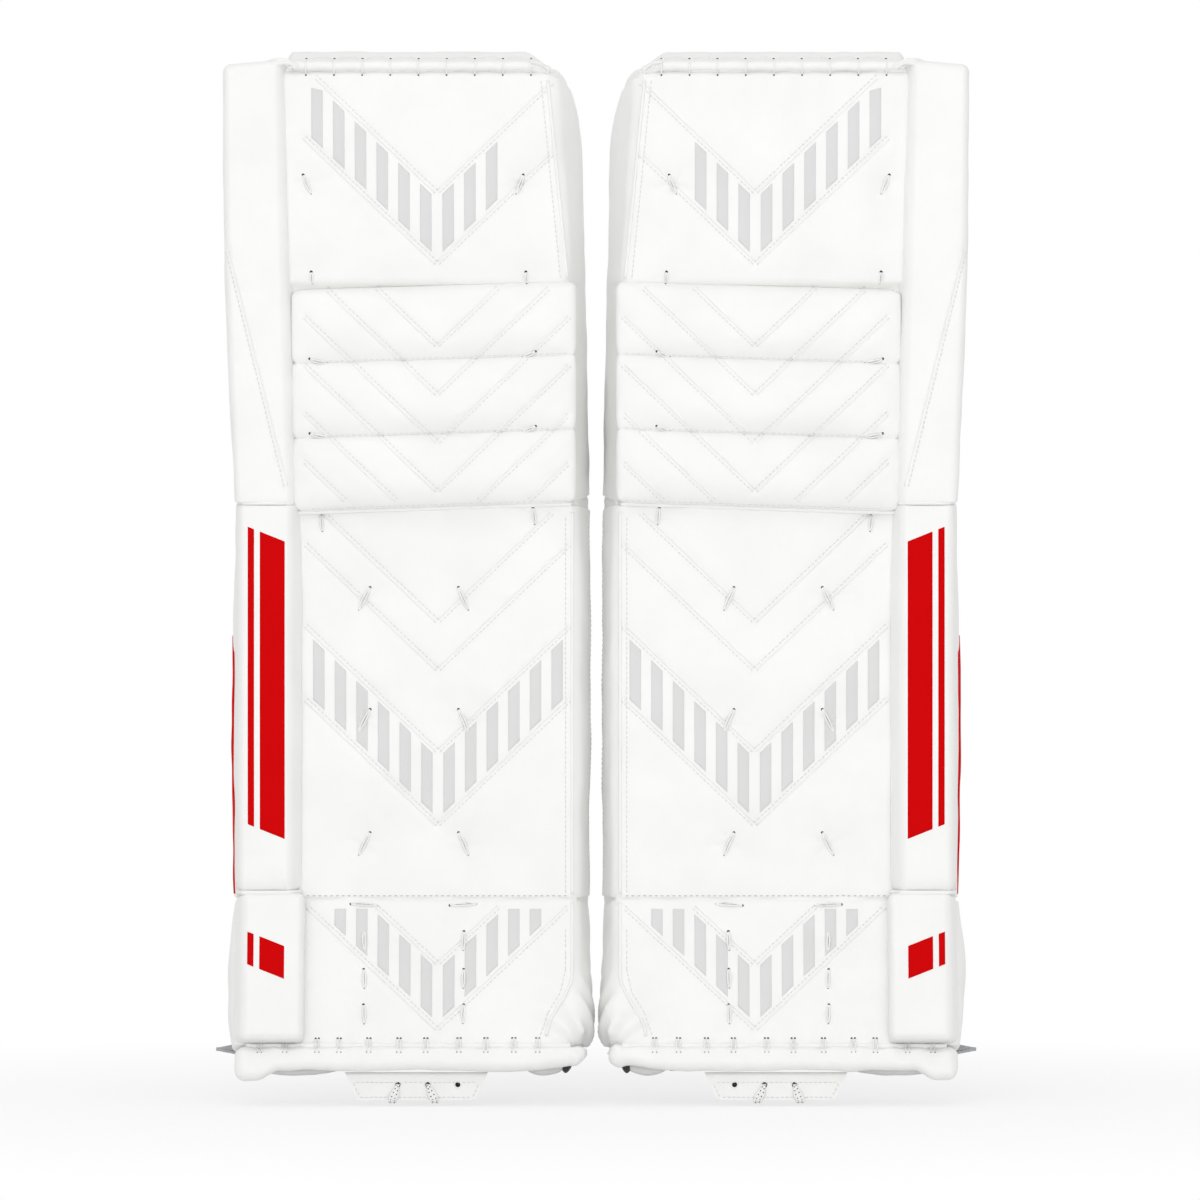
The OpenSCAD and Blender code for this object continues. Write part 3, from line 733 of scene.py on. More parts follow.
WHITE = leather("white_leather", (0.90, 0.90, 0.885))
PALE = leather("pale_grey_leather", (0.70, 0.70, 0.70), 0.5)
RED = leather("red_leather", (0.62, 0.001, 0.002), 0.65, specular=0.03)
LINING = leather("brushed_lining", (0.075, 0.077, 0.084), 0.8, 0.6, 0.15)
THREAD = woven("white_thread", (0.74, 0.74, 0.72), (0.86, 0.86, 0.84), 0.0006)
SEAM_THREAD = woven("grey_thread", (0.42, 0.42, 0.42), (0.55, 0.55, 0.54), 0.0006)
NYLON = woven("back_nylon", (0.035, 0.036, 0.040), (0.085, 0.087, 0.093), 0.0011)
WEBBING = woven("black_webbing", (0.022, 0.022, 0.024), (0.06, 0.06, 0.064), 0.0017)
GREY_WEBBING = woven("grey_webbing", (0.40, 0.41, 0.42), (0.60, 0.61, 0.63), 0.0014)
LACE = braid("white_lace", (0.92, 0.92, 0.91), (0.86, 0.86, 0.85), 0.0012)
# Near-black: painted shade inside the lace holes, and the real black of the lace flecks and the bridge
# washers
HOLE_SHADE_AND_BLACK = plastic("painted_hole_shade_and_black", (0.03, 0.03, 0.03), 0.8)
EYELET = plastic("eyelet_rim", (0.78, 0.78, 0.78), 0.35)
BLACK_PLASTIC = plastic("black_plastic", (0.022, 0.022, 0.024))


# Forms of the sections


def inner_slope(points, slope, front=0.0):
    """Slopes the inner side wall, so that the face is narrower than the back."""
    x, y, _ = points.T
    t = np.clip((DEPTH - y) / (DEPTH - front), 0, 1.1)
    x += slope * t**SLOPE_POWER * (1 - np.clip((x - X_IN) / (X_OUT - X_IN), 0, 1))


def round_corner(points, x_edge, z_edge, size):
    """Rounds the corner of a block's outline at (x_edge, z_edge); size is signed towards the block."""
    x, _, z = points.T
    a, b = 1 - (x - x_edge) / size[0], 1 - (z - z_edge) / size[1]
    inside = (a > 0) & (b > 0)
    a, b = np.where(inside, a, 0), np.where(inside, b, 0)
    shrink = np.where(inside, np.maximum(a, b) / np.maximum(np.hypot(a, b), 1e-9), 1)
    x[:] = np.where(inside, x_edge + size[0] * (1 - a * shrink), x)
    z[:] = np.where(inside, z_edge + size[1] * (1 - b * shrink), z)


def crown(points, low, high, amount, power=3):
    """Fullness of a padded face between two corners (x, z), most in the middle."""
    u, v = [np.clip(2 * (points[:, k] - a) / (b - a) - 1, -1, 1) for k, a, b in zip((0, 2), low, high)]
    return amount * (1 - np.abs(u) ** power) * (1 - np.abs(v) ** power)


def lift_face(points, outward, amount, way=-1):
    """Moves the front of a block towards the viewer, or its back away where way is 1."""
    points[:, 1] += way * np.clip(way * outward[:, 1], 0, 1) * amount


def push(points, outward, amount):
    """Moves every point outwards by its own amount."""
    points += outward * amount[:, None]


def slacken(points, outward, seed, amount):
    """Slack in the side walls and the back; the ends stay flat, so that they clear at a break."""
    x, y, z = points.T
    wall = (1 - np.clip(-outward[:, 1], 0, 1)) * (1 - np.abs(outward[:, 2]))
    push(points, outward, wall * amount * ripples(seed, 120, 24)(x + y, z + 0.7 * y))


def swell_wall(points, outward, way, amount, z_low, z_high):
    """Fullness of a side wall."""
    x, y, z = points.T
    v, depth = np.clip((z - z_low) / (z_high - z_low), 0, 1), np.clip(y / DEPTH, 0, 1)
    fullness = amount * np.sin(math.pi * v) * np.sin(math.pi * depth)
    x += way * np.clip(way * outward[:, 0], 0, 1) * fullness


def gathers(points, z_edge, pitch, reach, amount, phase=0.0):
    """Gathers beside a laced or sewn edge."""
    return -amount * np.exp(-np.abs(points[:, 2] - z_edge) / reach) * pinch(points[:, 0], phase, pitch)


def chevron_z(apex, x):
    return apex + CHEVRON_RISE * abs(x - FACE_MID)


def chevrons(apexes, z_low, z_high, x_low=FACE_IN + 3, x_high=ROLL_IN - 2):
    """The two straight seams of each chevron, cut to a part of the face."""
    lines = []
    for apex in apexes:
        for x_end, way in ((x_low, -1), (x_high, 1)):
            near = max(0.0, (z_low - apex) / CHEVRON_RISE)
            far = min(abs(x_end - FACE_MID), (z_high - apex) / CHEVRON_RISE)
            if far - near > 8:
                ends = FACE_MID + way * near, FACE_MID + way * far
                lines.append([(x, chevron_z(apex, x)) for x in ends])
    return lines


def chevron_bars(apexes, z_low, z_high, x_low=FACE_IN + 8, width=9.5, pitch=17.0, inset=5.0):
    """Upright bars between two chevrons."""
    bars = []
    for way in (-1, 1):
        for k in range(8):
            a = FACE_MID + way * (4 + k * pitch)
            b = a + way * width
            low, high = [[chevron_z(apex, x) for x in (a, b)] for apex in apexes]
            if min(a, b) < x_low or max(a, b) > ROLL_IN - 6 or min(low) < z_low or max(low) > z_high - 12:
                continue
            top = [min(z - inset, z_high) for z in high]
            bars.append([(a, low[0] + inset), (b, low[1] + inset), (b, top[1]), (a, top[0])])
    return bars


def add_stripes(parts, face, z_low, z_high):
    """A broad and a narrow stripe with slanted ends on an outer roll."""
    for a, b in STRIPES:
        corners = rectangle(a, z_low, b, z_high)
        add_patch(parts, face, [(ROLL_IN + x, z + STRIPE_SLANT * x) for x, z in corners], 3.0)


# The dark discs at the ties' ends are painted shade of their lace holes
TRIM = {"ties": LACE, "tie_hole_shade": HOLE_SHADE_AND_BLACK, "stitches": THREAD, "bars": PALE, "welt": WHITE}


def trim_face(face, ties, seams, bars, edge, rows):
    """What is sewn to a face, by kind."""
    trim = {kind: Parts() for kind in TRIM}
    for a, b in rows:
        add_stitches(trim["stitches"], face, a, b)
    for a, b, *_ in ties:
        add_tie(trim["ties"], trim["tie_hole_shade"], face, a, b)
    for a, b in seams:
        add_seam(trim["stitches"], trim["welt"], face, a, b)
    for bar in bars:
        add_patch(trim["bars"], face, bar)
    add_piping(trim["welt"], face, edge)
    return trim


# Slots for pieces whose slot isn't the usual one of their material; nothing in this script reads this table
OWN_SLOTS = {"knee_stack_1": "back_nylon", "toe_bridge_washers": "buckle_plastic"}
OWN_SLOTS |= {"calf_strap_tab": "webbing", "knee_strap_tab": "webbing"}


class Pad:
    """Makes the pieces of one pad and hangs them on its bodies."""

    def __init__(self, name):
        self.name, self.side, self.seed = name, SIDES[name], SEEDS[name]

    def piece(self, name, section, points, faces, *materials, fill=None, also=(), body=None):
        """Hangs a new piece on a body; it stands for the CAD node of its name and those in also."""
        obj = add_mesh(f"{self.name}_{name}", section.place(points, self.side), faces, *materials)
        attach(obj, f"{self.name}_{body or section.body}")
        nodes = [f"{self.name}_{node}" for node in (name, *also)]
        nodes = [node for node in nodes if node in frame["nodes"]]
        if nodes:
            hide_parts(*nodes)
        return obj

    def dress(self, section, pieces, body=None):
        """Makes small pieces from their parts and material by name."""
        for name, (parts, material) in pieces.items():
            if parts.points:
                self.piece(name, section, parts.points, parts.faces, material, body=body)

    def sew(self, name, section, surface, rows, stitch=COARSE, body=None):
        """Rows of grey stitches on a surface, as one piece."""
        thread = Parts()
        for a, b in rows:
            add_stitches(thread, surface, a, b, *stitch)
        self.dress(section, {name + "_stitches": (thread, SEAM_THREAD)}, body)

    def dress_face(self, section, trim, **others):
        pieces = {f"{section.body}_{kind}": (parts, TRIM[kind]) for kind, parts in trim.items()}
        self.dress(section, pieces | others)


# Thigh


def thigh(pad):
    low, high = (X_IN, -PANEL_RISE, GAP), (X_OUT, DEPTH, COVER_TOP)
    points, outward, quads = soft_box(low, high, (9, 9, 2), (9, 3, 6), COVER_STEP)
    relief = Relief(pad.seed + 1, 0.8, THIGH_TIES)
    relief.sew(chevrons(THIGH_CHEVRONS, ROLL_TOP + 4, COVER_TOP - 4, THIGH_FACE_IN))
    x, y, z = points.T
    block_x, block_z = x.copy(), z.copy()
    slacken(points, outward, pad.seed + 2, 0.7)
    swell_wall(points, outward, -1, 2.0, 0, COVER_TOP)
    slope = WALL_SLOPE + 6 * smooth((block_z - ROLL_TOP) / 170)
    inner_slope(points, slope, -PANEL_RISE)
    back = np.clip(y / DEPTH, 0, 1)
    z += 5 * back * np.clip(1 - z / SLANT_REACH, 0, 1)
    z += (1 - back) * knee_rise(x) * (1 - smooth(z / SLANT_REACH))
    deep = np.clip((y + PANEL_RISE) / (DEPTH + PANEL_RISE), 0, 1)
    edge = X_IN + slope * (1 - deep) ** SLOPE_POWER
    round_corner(points, edge, COVER_TOP, (6 + 20 * deep, -8 - 66 * deep))
    x += THIGH_SPLAY * z / COVER_TOP
    amount = crown(points, (FACE_IN + 6, ROLL_TOP), (ROLL_IN + 6, COVER_TOP), 5.0) + relief.height(x, z)
    amount += gathers(points, COVER_TOP, LACE_PITCH, 14, 2.2, TOP_LACES)
    lift_face(points, outward, amount)
    under_rolls, under_outer = 1 - smooth((block_z - ROLL_TOP + 3) / 6), smooth((block_x - ROLL_IN - 2) / 6)
    sunk = np.maximum(0.5 * under_rolls, 0.6 * under_outer) * PANEL_RISE
    y += sunk * np.clip((DEPTH - y) / (DEPTH + PANEL_RISE), 0, 1)
    pad.piece("thigh_cover", THIGH, points, quads, WHITE, fill=0.8, also=["thigh_core"])
    rolls = [knee_roll(pad, place, name) for place, name in enumerate(("lower", "middle", "upper"))]
    thigh_details(pad, Surface((points, quads), *rolls))
    outer_roll(pad, THIGH, ROLL_BREAK + 0.1, COVER_TOP + ROLL_OVER, SPLAY)
    binding(pad, (points, quads))


def knee_roll(pad, place, name):
    """One padded bar across the face; place counts up from the knee break."""
    front, lower, lap = (7, 6, 0.0) if place == 0 else (5, 5, 2.0)
    low = np.array([FACE_IN - 3, -KNEE_ROLL_RISE + 1.5, place * KNEE_ROLL + 0.3 - lap])
    high = np.array([ROLL_IN + 8, -0.2, (place + 1) * KNEE_ROLL + (2.0 if place < 2 else -0.2)])
    points, _, quads = soft_box(low, high, (5, front, lower), (4, 1, 4), 4)
    roll = "knee_roll_" + name
    points, outward, faces = puffed(roll, points, quads, lambda p: p[:, 1] > -3, pressure=3.0, cap=3.0)
    x, _, z = points.T
    z[:] = np.clip(z, low[2] - 0.2, high[2] + 0.2)
    near = np.exp(-np.abs(z - low[2]) / 9) + 0.7 * np.exp(-np.abs(z - high[2]) / 7)
    amount = crown(points, low[[0, 2]], high[[0, 2]], 2.0, power=2.4)
    z += roll_slant(x)
    dimples = [(spot, low[2] + 3 + roll_slant(spot)) for spot in ROLL_DIMPLES]
    relief = Relief(pad.seed + 10 + place, 0.6, [(at, at, 1.4, 9) for at in dimples])
    relief.sew(chevrons(ROLL_CHEVRONS, low[2] - KNEE_SLANT, high[2] + KNEE_SLANT), 0.9, 3.0)
    gather = ripples(pad.seed + 20 + place, 46, 11)(x, 0 * z)
    amount += relief.height(x, z) - near * (0.4 + 0.5 * gather)
    lift_face(points, outward, np.maximum(amount, -3))
    pad.piece(roll, THIGH, points, faces, WHITE, fill=0.8)
    return points, faces


def thigh_details(pad, face):
    ties = THIGH_TIES + [
        ((a, place * KNEE_ROLL + 3.5 + roll_slant(a)), (b, place * KNEE_ROLL + 0.5 + roll_slant(b)))
        for place in (1, 2) for a, b in ROLL_TIES
    ]
    seams = chevrons(THIGH_CHEVRONS, ROLL_TOP + 4, COVER_TOP - 6, THIGH_FACE_IN)
    seams += chevrons(ROLL_CHEVRONS, 6, ROLL_TOP - 2)
    bars = chevron_bars(THIGH_CHEVRONS, ROLL_TOP + 8, COVER_TOP - 14, FACE_IN + 45)
    climb = np.linspace(0, 1, 40)[:, None]
    edge = climb * (15, COVER_TOP - ROLL_TOP - 14) + (FACE_IN + 5, ROLL_TOP + 5)
    trim, rolls = trim_face(face, ties, seams, bars, edge, [edge[[0, -1]] + (5, 0)]), Parts()
    for place in range(3):
        z = place * KNEE_ROLL + (3.0 if place == 0 else 1.6)
        ends = [(x, z + roll_slant(x)) for x in (FACE_IN + 4, ROLL_IN - 6)]
        add_stitches(rolls, face, *ends, *ROLL_STITCH)
    pad.dress_face(THIGH, trim, knee_roll_stitches=(rolls, THREAD))


def outer_roll(pad, section, z_low, z_high, splay=0.0):
    """A padded bar down the outer edge, narrower in front than at its base."""
    name = section.body
    end_low, end_high, inner, outer = OUTER_ROLLS[name]
    low = np.array([ROLL_IN - (2 if name == "boot" else 0), -ROLL_RISE + 1, z_low])
    high = np.array([X_OUT, -0.2, z_high])
    points, outward, quads = soft_box(low, high, (5, 6, end_low), (6, 2, end_high), (2.4, 3, 3))
    x, y, z = points.T
    relief = Relief(pad.seed + 30 + len(name), 0.55)
    if name == "thigh":
        seam = (X_OUT - 1, z_high - ROLL_SEAM), (ROLL_IN + 8, z_low + 12)
        relief.sew([seam], depth=1.0, width=3.0)
    lift_face(points, outward, crown(points, low[[0, 2]], high[[0, 2]], 1.4, 4) + relief.height(x, z))
    slacken(points, outward, pad.seed + 40 + len(name), 0.5)
    front = np.clip((high[1] - y) / ROLL_RISE, 0, 1)
    u = np.clip((x - low[0]) / (high[0] - low[0]), 0, 1)
    if name == "thigh":
        z += 1.1 * front * smooth((z_low + 12 - z) / 12)
    if name == "shin":
        z -= 1.1 * front * smooth((z - z_high + 12) / 12)
    x += inner * front * (1 - u) - outer * front * u + splay * z
    if name == "thigh":
        x += 3.0 * u * np.sin(math.pi * np.clip(z / z_high, 0, 1))
        z += (1.5 - 4.0 * u) * smooth((z - z_high + 60) / 60)
    obj = pad.piece("outer_roll_" + name, section, points, quads, WHITE, fill=0.9)
    roll_trim(pad, section, obj, Surface((points, quads)), z_low, z_high, splay)


def roll_trim(pad, section, obj, face, z_low, z_high, splay):
    """Seam and stripes of a length of the outer roll, and a mesh of its own for the thigh's and the boot's
    lengths.
    """
    thread, edges, marks = Parts(), Parts(), Parts()
    if section is THIGH:
        squeeze(pad, obj, section, z_high)
        top = z_high - ROLL_SEAM
        add_seam(thread, edges, face, (X_OUT + splay * top - 0.5, top - 2), (ROLL_IN + 12, z_low + 14))
    else:
        below, above = STRIPE_ROOM[section.body]
        add_stripes(marks, face, z_low + below, z_high - above)
    if section is BOOT:
        squeeze(pad, obj, section, z_low)
    pieces = {"_stitches": (thread, THREAD), "_seam": (edges, WHITE), "_marks": (marks, RED)}
    pad.dress(section, {f"outer_roll_{section.body}{kind}": piece for kind, piece in pieces.items()})


def squeeze(pad, obj, section, z_held):
    """Gives a length of the outer roll a mesh of its own; the points at its break are worked out but not
    used.
    """
    held, above = section.place([(FACE_MID, 0, z_held), (FACE_MID, 0, z_held + 1)], pad.side)
    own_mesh(obj)


def binding(pad, panel):
    """Rolled edge along the top, with a welt in front and its lacing."""
    low, high = (X_IN + 22, -PANEL_RISE + 3, COVER_TOP - 3), (ROLL_IN + 6, BACK_Y, THIGH_TOP)
    points, outward, quads = soft_box(low, high, (8, 9, 3), (4, 5, 7), (2.4, 4, 2.2))
    x, y, z = points.T
    ends = smooth((x - low[0]) / 22) * smooth((high[0] - x) / 6)
    push(points, outward, 0.6 * ripples(pad.seed + 60, 70, 14)(x, y))
    rise = (0.45 + 0.55 * smooth((y + PANEL_RISE) / 26)) * (0.3 + 0.7 * ends)
    z[:] = low[2] + (z - low[2]) * rise
    x += THIGH_SPLAY
    pad.piece("top_binding", THIGH, points, quads, WHITE, fill=0.7)
    x = np.linspace(X_IN + 32, ROLL_IN + 9, 160)
    tight, end = pinch(x, TOP_LACES), 1 - smooth((x - x[0]) / 16)
    line = columns(x, 0.8 + 0.9 * tight + 3 * end, 3.2 - 0.5 * tight - 4 * end)
    line += (0, -PANEL_RISE, COVER_TOP)
    welt, cords, holes = Parts(tube(line, TOP_WELT, 14)), Parts(), Parts()
    top_lacing(cords, holes, line, Surface(panel), Surface((points, quads)))
    tongue = [(25, -13, 3.5), (17, -19.5, 6.0), (9, -19.5, 5.5), (3, -15.5, 0.5)]
    flap = curve_through(np.add(tongue, (ROLL_IN, 0, COVER_TOP)), 30)
    widths = 7.0 - 3.5 * smooth(np.linspace(0, 1, 30))
    welt.add(*ribbon(flap, np.array([-0.4, -0.25, 0.9]), widths, 1.8))
    # A dark disc on the tongue: painted shade of its lace hole
    add_disc(holes, flap[-6] + (-1.2, 1.6, -1.6), np.array([0.0, -1.0, 0.0]), 1.9)
    pieces = {"top_welt": (welt, WHITE), "top_lacing": (cords, LACE), "top_lacing_hole_shade": (holes, HOLE_SHADE_AND_BLACK)}
    pad.dress(THIGH, pieces)


def top_lacing(cords, holes, line, face, band):
    """Laces over the top welt, arcs between them, loops at the inner end and a knot at the outer one."""
    spots, upper, thread = TOP_LACES + LACE_PITCH * np.arange(9), COVER_TOP + 8.2, 0.7
    out = TOP_WELT + thread * 0.6
    for x in spots:
        centre = line[np.argmin(np.abs(line[:, 0] - x))]
        hole, normal = face.drop(x, COVER_TOP - 3.5)
        over = [hole - normal, hole + normal * 0.5]
        for turn in np.radians(np.linspace(-35, 150, 9)):
            over.append(centre + (0.0, -out * math.cos(turn), out * math.sin(turn)))
        cords.add(*tube(curve_through(over, 30), thread))
        # Dark discs at both ends of each lace: painted shade of its holes
        add_hole_shade(holes, face, (x, COVER_TOP - 4.6), 1.0)
        add_hole_shade(holes, band, (x, upper), 1.2)
    share = np.linspace(0, 1, 9)
    for a, b in zip(spots[:-1], spots[1:]):
        bow = columns(a + 0.8 + (b - a - 1.6) * share, upper - 0.6 + 1.6 * np.sin(math.pi * share))
        hits = [band.drop(*at) for at in bow]
        if all(hit is not None for hit, _ in hits):
            arc = [hit + normal * (0.35 if 0 < t < 1 else -0.4) for t, (hit, normal) in zip(share, hits)]
            cords.add(*tube(curve_through(arc, 24), 0.55))
    for drop in (0.0, 2.6):
        loop = [(spots[0] + 1, -2.6, 5.7 - drop), (spots[0] - 8, -2.4, 4.4 - 1.3 * drop)]
        loop += [(X_IN + 33, 0.4, -0.6 - drop), (X_IN + 28.5, 6, -3 - drop)]
        cords.add(*tube(curve_through(np.add(loop, (0, -PANEL_RISE, COVER_TOP)), 24), 0.75))
    knot, spin = line[-1] + (-1.5, -3.0, 1.0), np.linspace(0, math.tau, 20)
    for turn in range(3):
        loop = columns(3.4 * np.cos(spin) - turn, -1.5 - 0.5 * turn, 2.4 * np.sin(spin + turn))
        cords.add(*tube(knot + loop, 0.9))


# Shin


def shin(pad):
    low, high = (X_IN, 0.0, BOOT_Z + 0.15), (X_OUT, DEPTH, KNEE_Z - 0.3)
    points, outward, quads = soft_box(low, high, (9, 9, 0.9), (9, 3, 2.4), COVER_STEP)
    dimples = [((x, KNEE_Z - 7), (x, KNEE_Z - 7), 2.6, 15) for x in KNEE_TIES]
    relief = Relief(pad.seed + 3, 0.8, SHIN_TIES + dimples)
    relief.sew(chevrons(SHIN_CHEVRONS, BOOT_Z + 4, KNEE_Z - 4))
    slacken(points, outward, pad.seed + 4, 0.7)
    swell_wall(points, outward, 1, 3.5, BOOT_Z - 40, KNEE_Z)
    swell_wall(points, outward, -1, 1.5, BOOT_Z, KNEE_Z)
    inner_slope(points, LOWER_SLOPE)
    x, y, z = points.T
    slanted = smooth((z - KNEE_Z + SLANT_REACH) / SLANT_REACH)
    z += (1 - np.clip(y / DEPTH, 0, 1)) * knee_rise(x) * slanted
    amount = crown(points, (FACE_IN - 8, BOOT_Z), (ROLL_IN + 6, KNEE_Z), 2.0, 4) + relief.height(x, z)
    amount += gathers(points, KNEE_Z, 31, 9, 1.2) + gathers(points, BOOT_Z, 39, 9, 0.8)
    amount += 9.0 * np.exp(-np.abs(z - KNEE_Z) / 20)
    lift_face(points, outward, amount)
    pad.piece("shin_cover", SHIN, points, quads, WHITE, fill=0.8, also=["shin_core"])
    shin_details(pad, (points, quads))
    outer_roll(pad, SHIN, BOOT_Z + 6.5, KNEE_Z + ROLL_BREAK - 0.1)


def shin_details(pad, cover):
    face, wall, inner_wall = [Surface(cover, seen=way) for way in ("front", "side", "inside")]
    tie_tops = [(x, KNEE_Z + knee_rise(x) - 4) for x in KNEE_TIES]
    ties = SHIN_TIES + [((x, z), (x - 1, z - 11)) for x, z in tie_tops]
    seams = chevrons(SHIN_CHEVRONS, BOOT_Z + 5, KNEE_Z - 5)
    bars = chevron_bars(SHIN_CHEVRONS[:2], BOOT_Z + 8, KNEE_Z - 60)
    edge = [(FACE_IN + 1, z) for z in np.linspace(BOOT_Z + 3, KNEE_Z - 4, 70)]
    rows = [((FACE_IN + 6, BOOT_Z + 4), (FACE_IN + 6, KNEE_Z - 6))]
    trim, seam, strip = trim_face(face, ties, seams, bars, edge, rows), Parts(), Parts()
    break_cords(trim["welt"])
    for surface, y in ((wall, 4.0), (wall, 36), (inner_wall, 36)):
        add_stitches(trim["stitches"], surface, (y, BOOT_Z + 6), (y, KNEE_Z - 6))
    add_stitches(seam, face, (FACE_IN + 4, BOOT_Z + 2.2), (ROLL_IN - 2, BOOT_Z + 2.2), *BREAK_STITCH)
    add_patch(strip, wall, np.add(SIDE_STRIP, (0, BOOT_Z)), step=3.0, lift=0.6)
    pad.dress_face(SHIN, trim, boot_break_stitches=(seam, SEAM_THREAD), shin_side_strip=(strip, RED))


def break_cords(welt):
    """Soft cords sewn in the knee break and between the lengths of the outer roll."""
    x = np.linspace(FACE_IN + 1, ROLL_IN + 4, 90)
    welt.add(*tube(columns(x, -7.6, KNEE_Z - 0.9 + roll_slant(x)), KNEE_CORD))
    front = -ROLL_RISE + 3.0
    for z, deep, radius in ((KNEE_Z + ROLL_BREAK, 0.0, 1.5), (BOOT_Z + 5.4, 1.2, 1.8)):
        way = [(ROLL_IN + 1.5, -0.5), (ROLL_IN + 6.5, front * 0.55), (ROLL_IN + 12, front + deep)]
        way += [(X_OUT - 11, front + deep), (X_OUT - 6, front * 0.75), (X_OUT - 2.6, -0.5)]
        line = curve_through([(x, y, z) for x, y in way], 60)
        welt.add(*tube(line, radius, up=(0.0, 0.0, 1.0)))


# Boot


def boot(pad):
    low, high = (X_IN, 0.0, COVER_BOTTOM), (X_OUT, DEPTH, -0.15)
    points, outward, quads = soft_box(low, high, (9, 9, 2.5), (9, 3, 0.9), COVER_STEP)
    relief = Relief(pad.seed + 5, 0.9, BOOT_TIES)
    relief.sew(chevrons(BOOT_CHEVRONS, COVER_BOTTOM + 4, -4))
    slacken(points, outward, pad.seed + 7, 1.3)
    swell_wall(points, outward, 1, 7.0, COVER_BOTTOM - 10, 10)
    swell_wall(points, outward, -1, 4.5, COVER_BOTTOM - 30, -20)
    inner_slope(points, LOWER_SLOPE)
    round_corner(points, X_IN, COVER_BOTTOM, (18, 18))
    x, y, z = points.T
    amount = crown(points, (FACE_IN - 8, COVER_BOTTOM), (ROLL_IN + 6, 0), 3.0) + relief.height(x, z)
    amount += gathers(points, COVER_BOTTOM, LACE_PITCH, 13, 1.8, TOE_LACES)
    amount += gathers(points, -GAP, 39, 8, 0.8)
    corner_x, corner_z = x - FACE_IN + 6, z - COVER_BOTTOM
    angle = np.arctan2(corner_z + 6, corner_x + 9)
    folds = np.exp(-np.hypot(corner_x / 36, corner_z / 50)) * np.sin(10 * angle)
    lift_face(points, outward, amount + 3.8 * folds)
    wall = np.clip(-outward[:, 0], 0, 1) * smooth((-40 - z) / 60)
    x -= 2.2 * wall * np.sin((z + 0.8 * y) * math.tau / 21)
    pad.piece("boot_cover", BOOT, points, quads, WHITE, fill=0.8, also=["boot_core"])
    boot_details(pad, Surface((points, quads), toe_roll(pad)))
    outer_roll(pad, BOOT, COVER_BOTTOM + 2, 1.5)


def boot_details(pad, face):
    seams = chevrons(BOOT_CHEVRONS, COVER_BOTTOM + 8, -6)
    bars = chevron_bars(BOOT_CHEVRONS, COVER_BOTTOM + 10, -8)
    climb = np.linspace(COVER_BOTTOM + 8, -3, 50)
    edge = columns(FACE_IN + 1 + 20 * smooth((-60 - climb) / 50), climb)
    rows = zip(edge[:-10:8] + (5, 0), edge[8::8] + (5, 0))
    trim = trim_face(face, BOOT_TIES + CROSS_TIES, seams, bars, edge, rows)
    x = np.linspace(FACE_IN + 2, X_OUT - 9, 150)
    trim["welt"].add(*tube(columns(x, 0.6 + 1.2 * pinch(x, TOE_LACES), COVER_BOTTOM), TOE_WELT, 10))
    lacing, holes = Parts(), Parts()
    # Each stitch of the toe lacing ends in dark discs, painted shade of its holes
    for x in TOE_LACES + LACE_PITCH * np.arange(11) + TOE_LACE_SHIFTS:
        for gap in (-1.3, 1.3):
            ends = (x + gap, COVER_BOTTOM + 5), (x + 1.2 * gap, COVER_BOTTOM - 5)
            add_tie(lacing, holes, face, *ends, 0.6, 0.8, 1)
    pad.dress_face(BOOT, trim, toe_lacing=(lacing, LACE), toe_lacing_holes=(holes, HOLE_SHADE_AND_BLACK))


def toe_roll(pad):
    """Padded roll under the boot, fuller at its outer end and gathered at its inner end."""
    low, high = (X_IN + 3, -7.0, BOOT_BOTTOM), (X_OUT, DEPTH - 2, COVER_BOTTOM - 0.2)
    points, outward, quads = soft_box(low, high, 9, (9, 9, 4), (2.2, 4, 1.8))
    x, y, z = points.T
    block_x = x.copy()
    upper = np.clip((z - BOOT_BOTTOM) / 19, 0, 1)
    front = np.clip(1 - (y + 7) / 20, 0, 1)
    bunch = smooth((X_IN + 55 - x) / 40)
    slack = (0.9 + 1.6 * bunch) * ripples(pad.seed + 70, 80, 13)(x * (1 + bunch), y + z)
    push(points, outward, slack - 1.6 * pinch(x, TOE_LACES) * front * upper)
    lobe = smooth((block_x - (X_OUT - 36)) / 18) * (1 - 0.75 * smooth((y - 10) / 26))
    below = np.clip((COVER_BOTTOM - z) / 14, 0, 1)
    z += below * (4.0 * bunch - 7.5 * lobe - 1.5 * front + 0.24 * np.maximum(y, 0))
    pad.piece("toe_roll", BOOT, points, quads, WHITE, fill=0.8)
    return points, quads


# Breaks


def gusset(pad, name, lower, upper, z_lower, z_upper, reach=12.0):
    """Soft pleated band inside the break between two sections, from the lower body to the upper one."""
    turn = np.linspace(0, 4, 160, endpoint=False)
    x, y = [np.interp(turn, range(5), corners) for corners in ([0, 1, 1, 0, 0], [0, 0, 1, 1, 0])]
    rings = []
    for skin, first in ((0.0, -1), (1.6, 1)):
        for t in np.linspace(first, -first, 13):
            inset = 1.1 + skin + 2.6 * t * t + 0.3 * math.cos(11 * t)
            depth = inset + y * (DEPTH - 2 * inset)
            inner = X_IN + LOWER_SLOPE * (1 - depth / DEPTH) + inset
            across = inner + x * (X_OUT - inset - inner)
            start, end = [
                section.place(columns(across, depth, z + t * reach), pad.side)
                for section, z in ((lower, z_lower), (upper, z_upper))
            ]
            rings.append(start + (end - start) * smooth((t + 1) / 2))
    obj = add_mesh(f"{pad.name}_{name}_gusset", *loft(rings, closed=True), WHITE)
    place = np.array([pad.side * FACE_MID, -MID, max(z_lower, z_upper)])
    start, end = [((place + (0, 0, way * reach)) * MM).tolist() for way in (-1, 1)]
    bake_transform(obj)


# Back


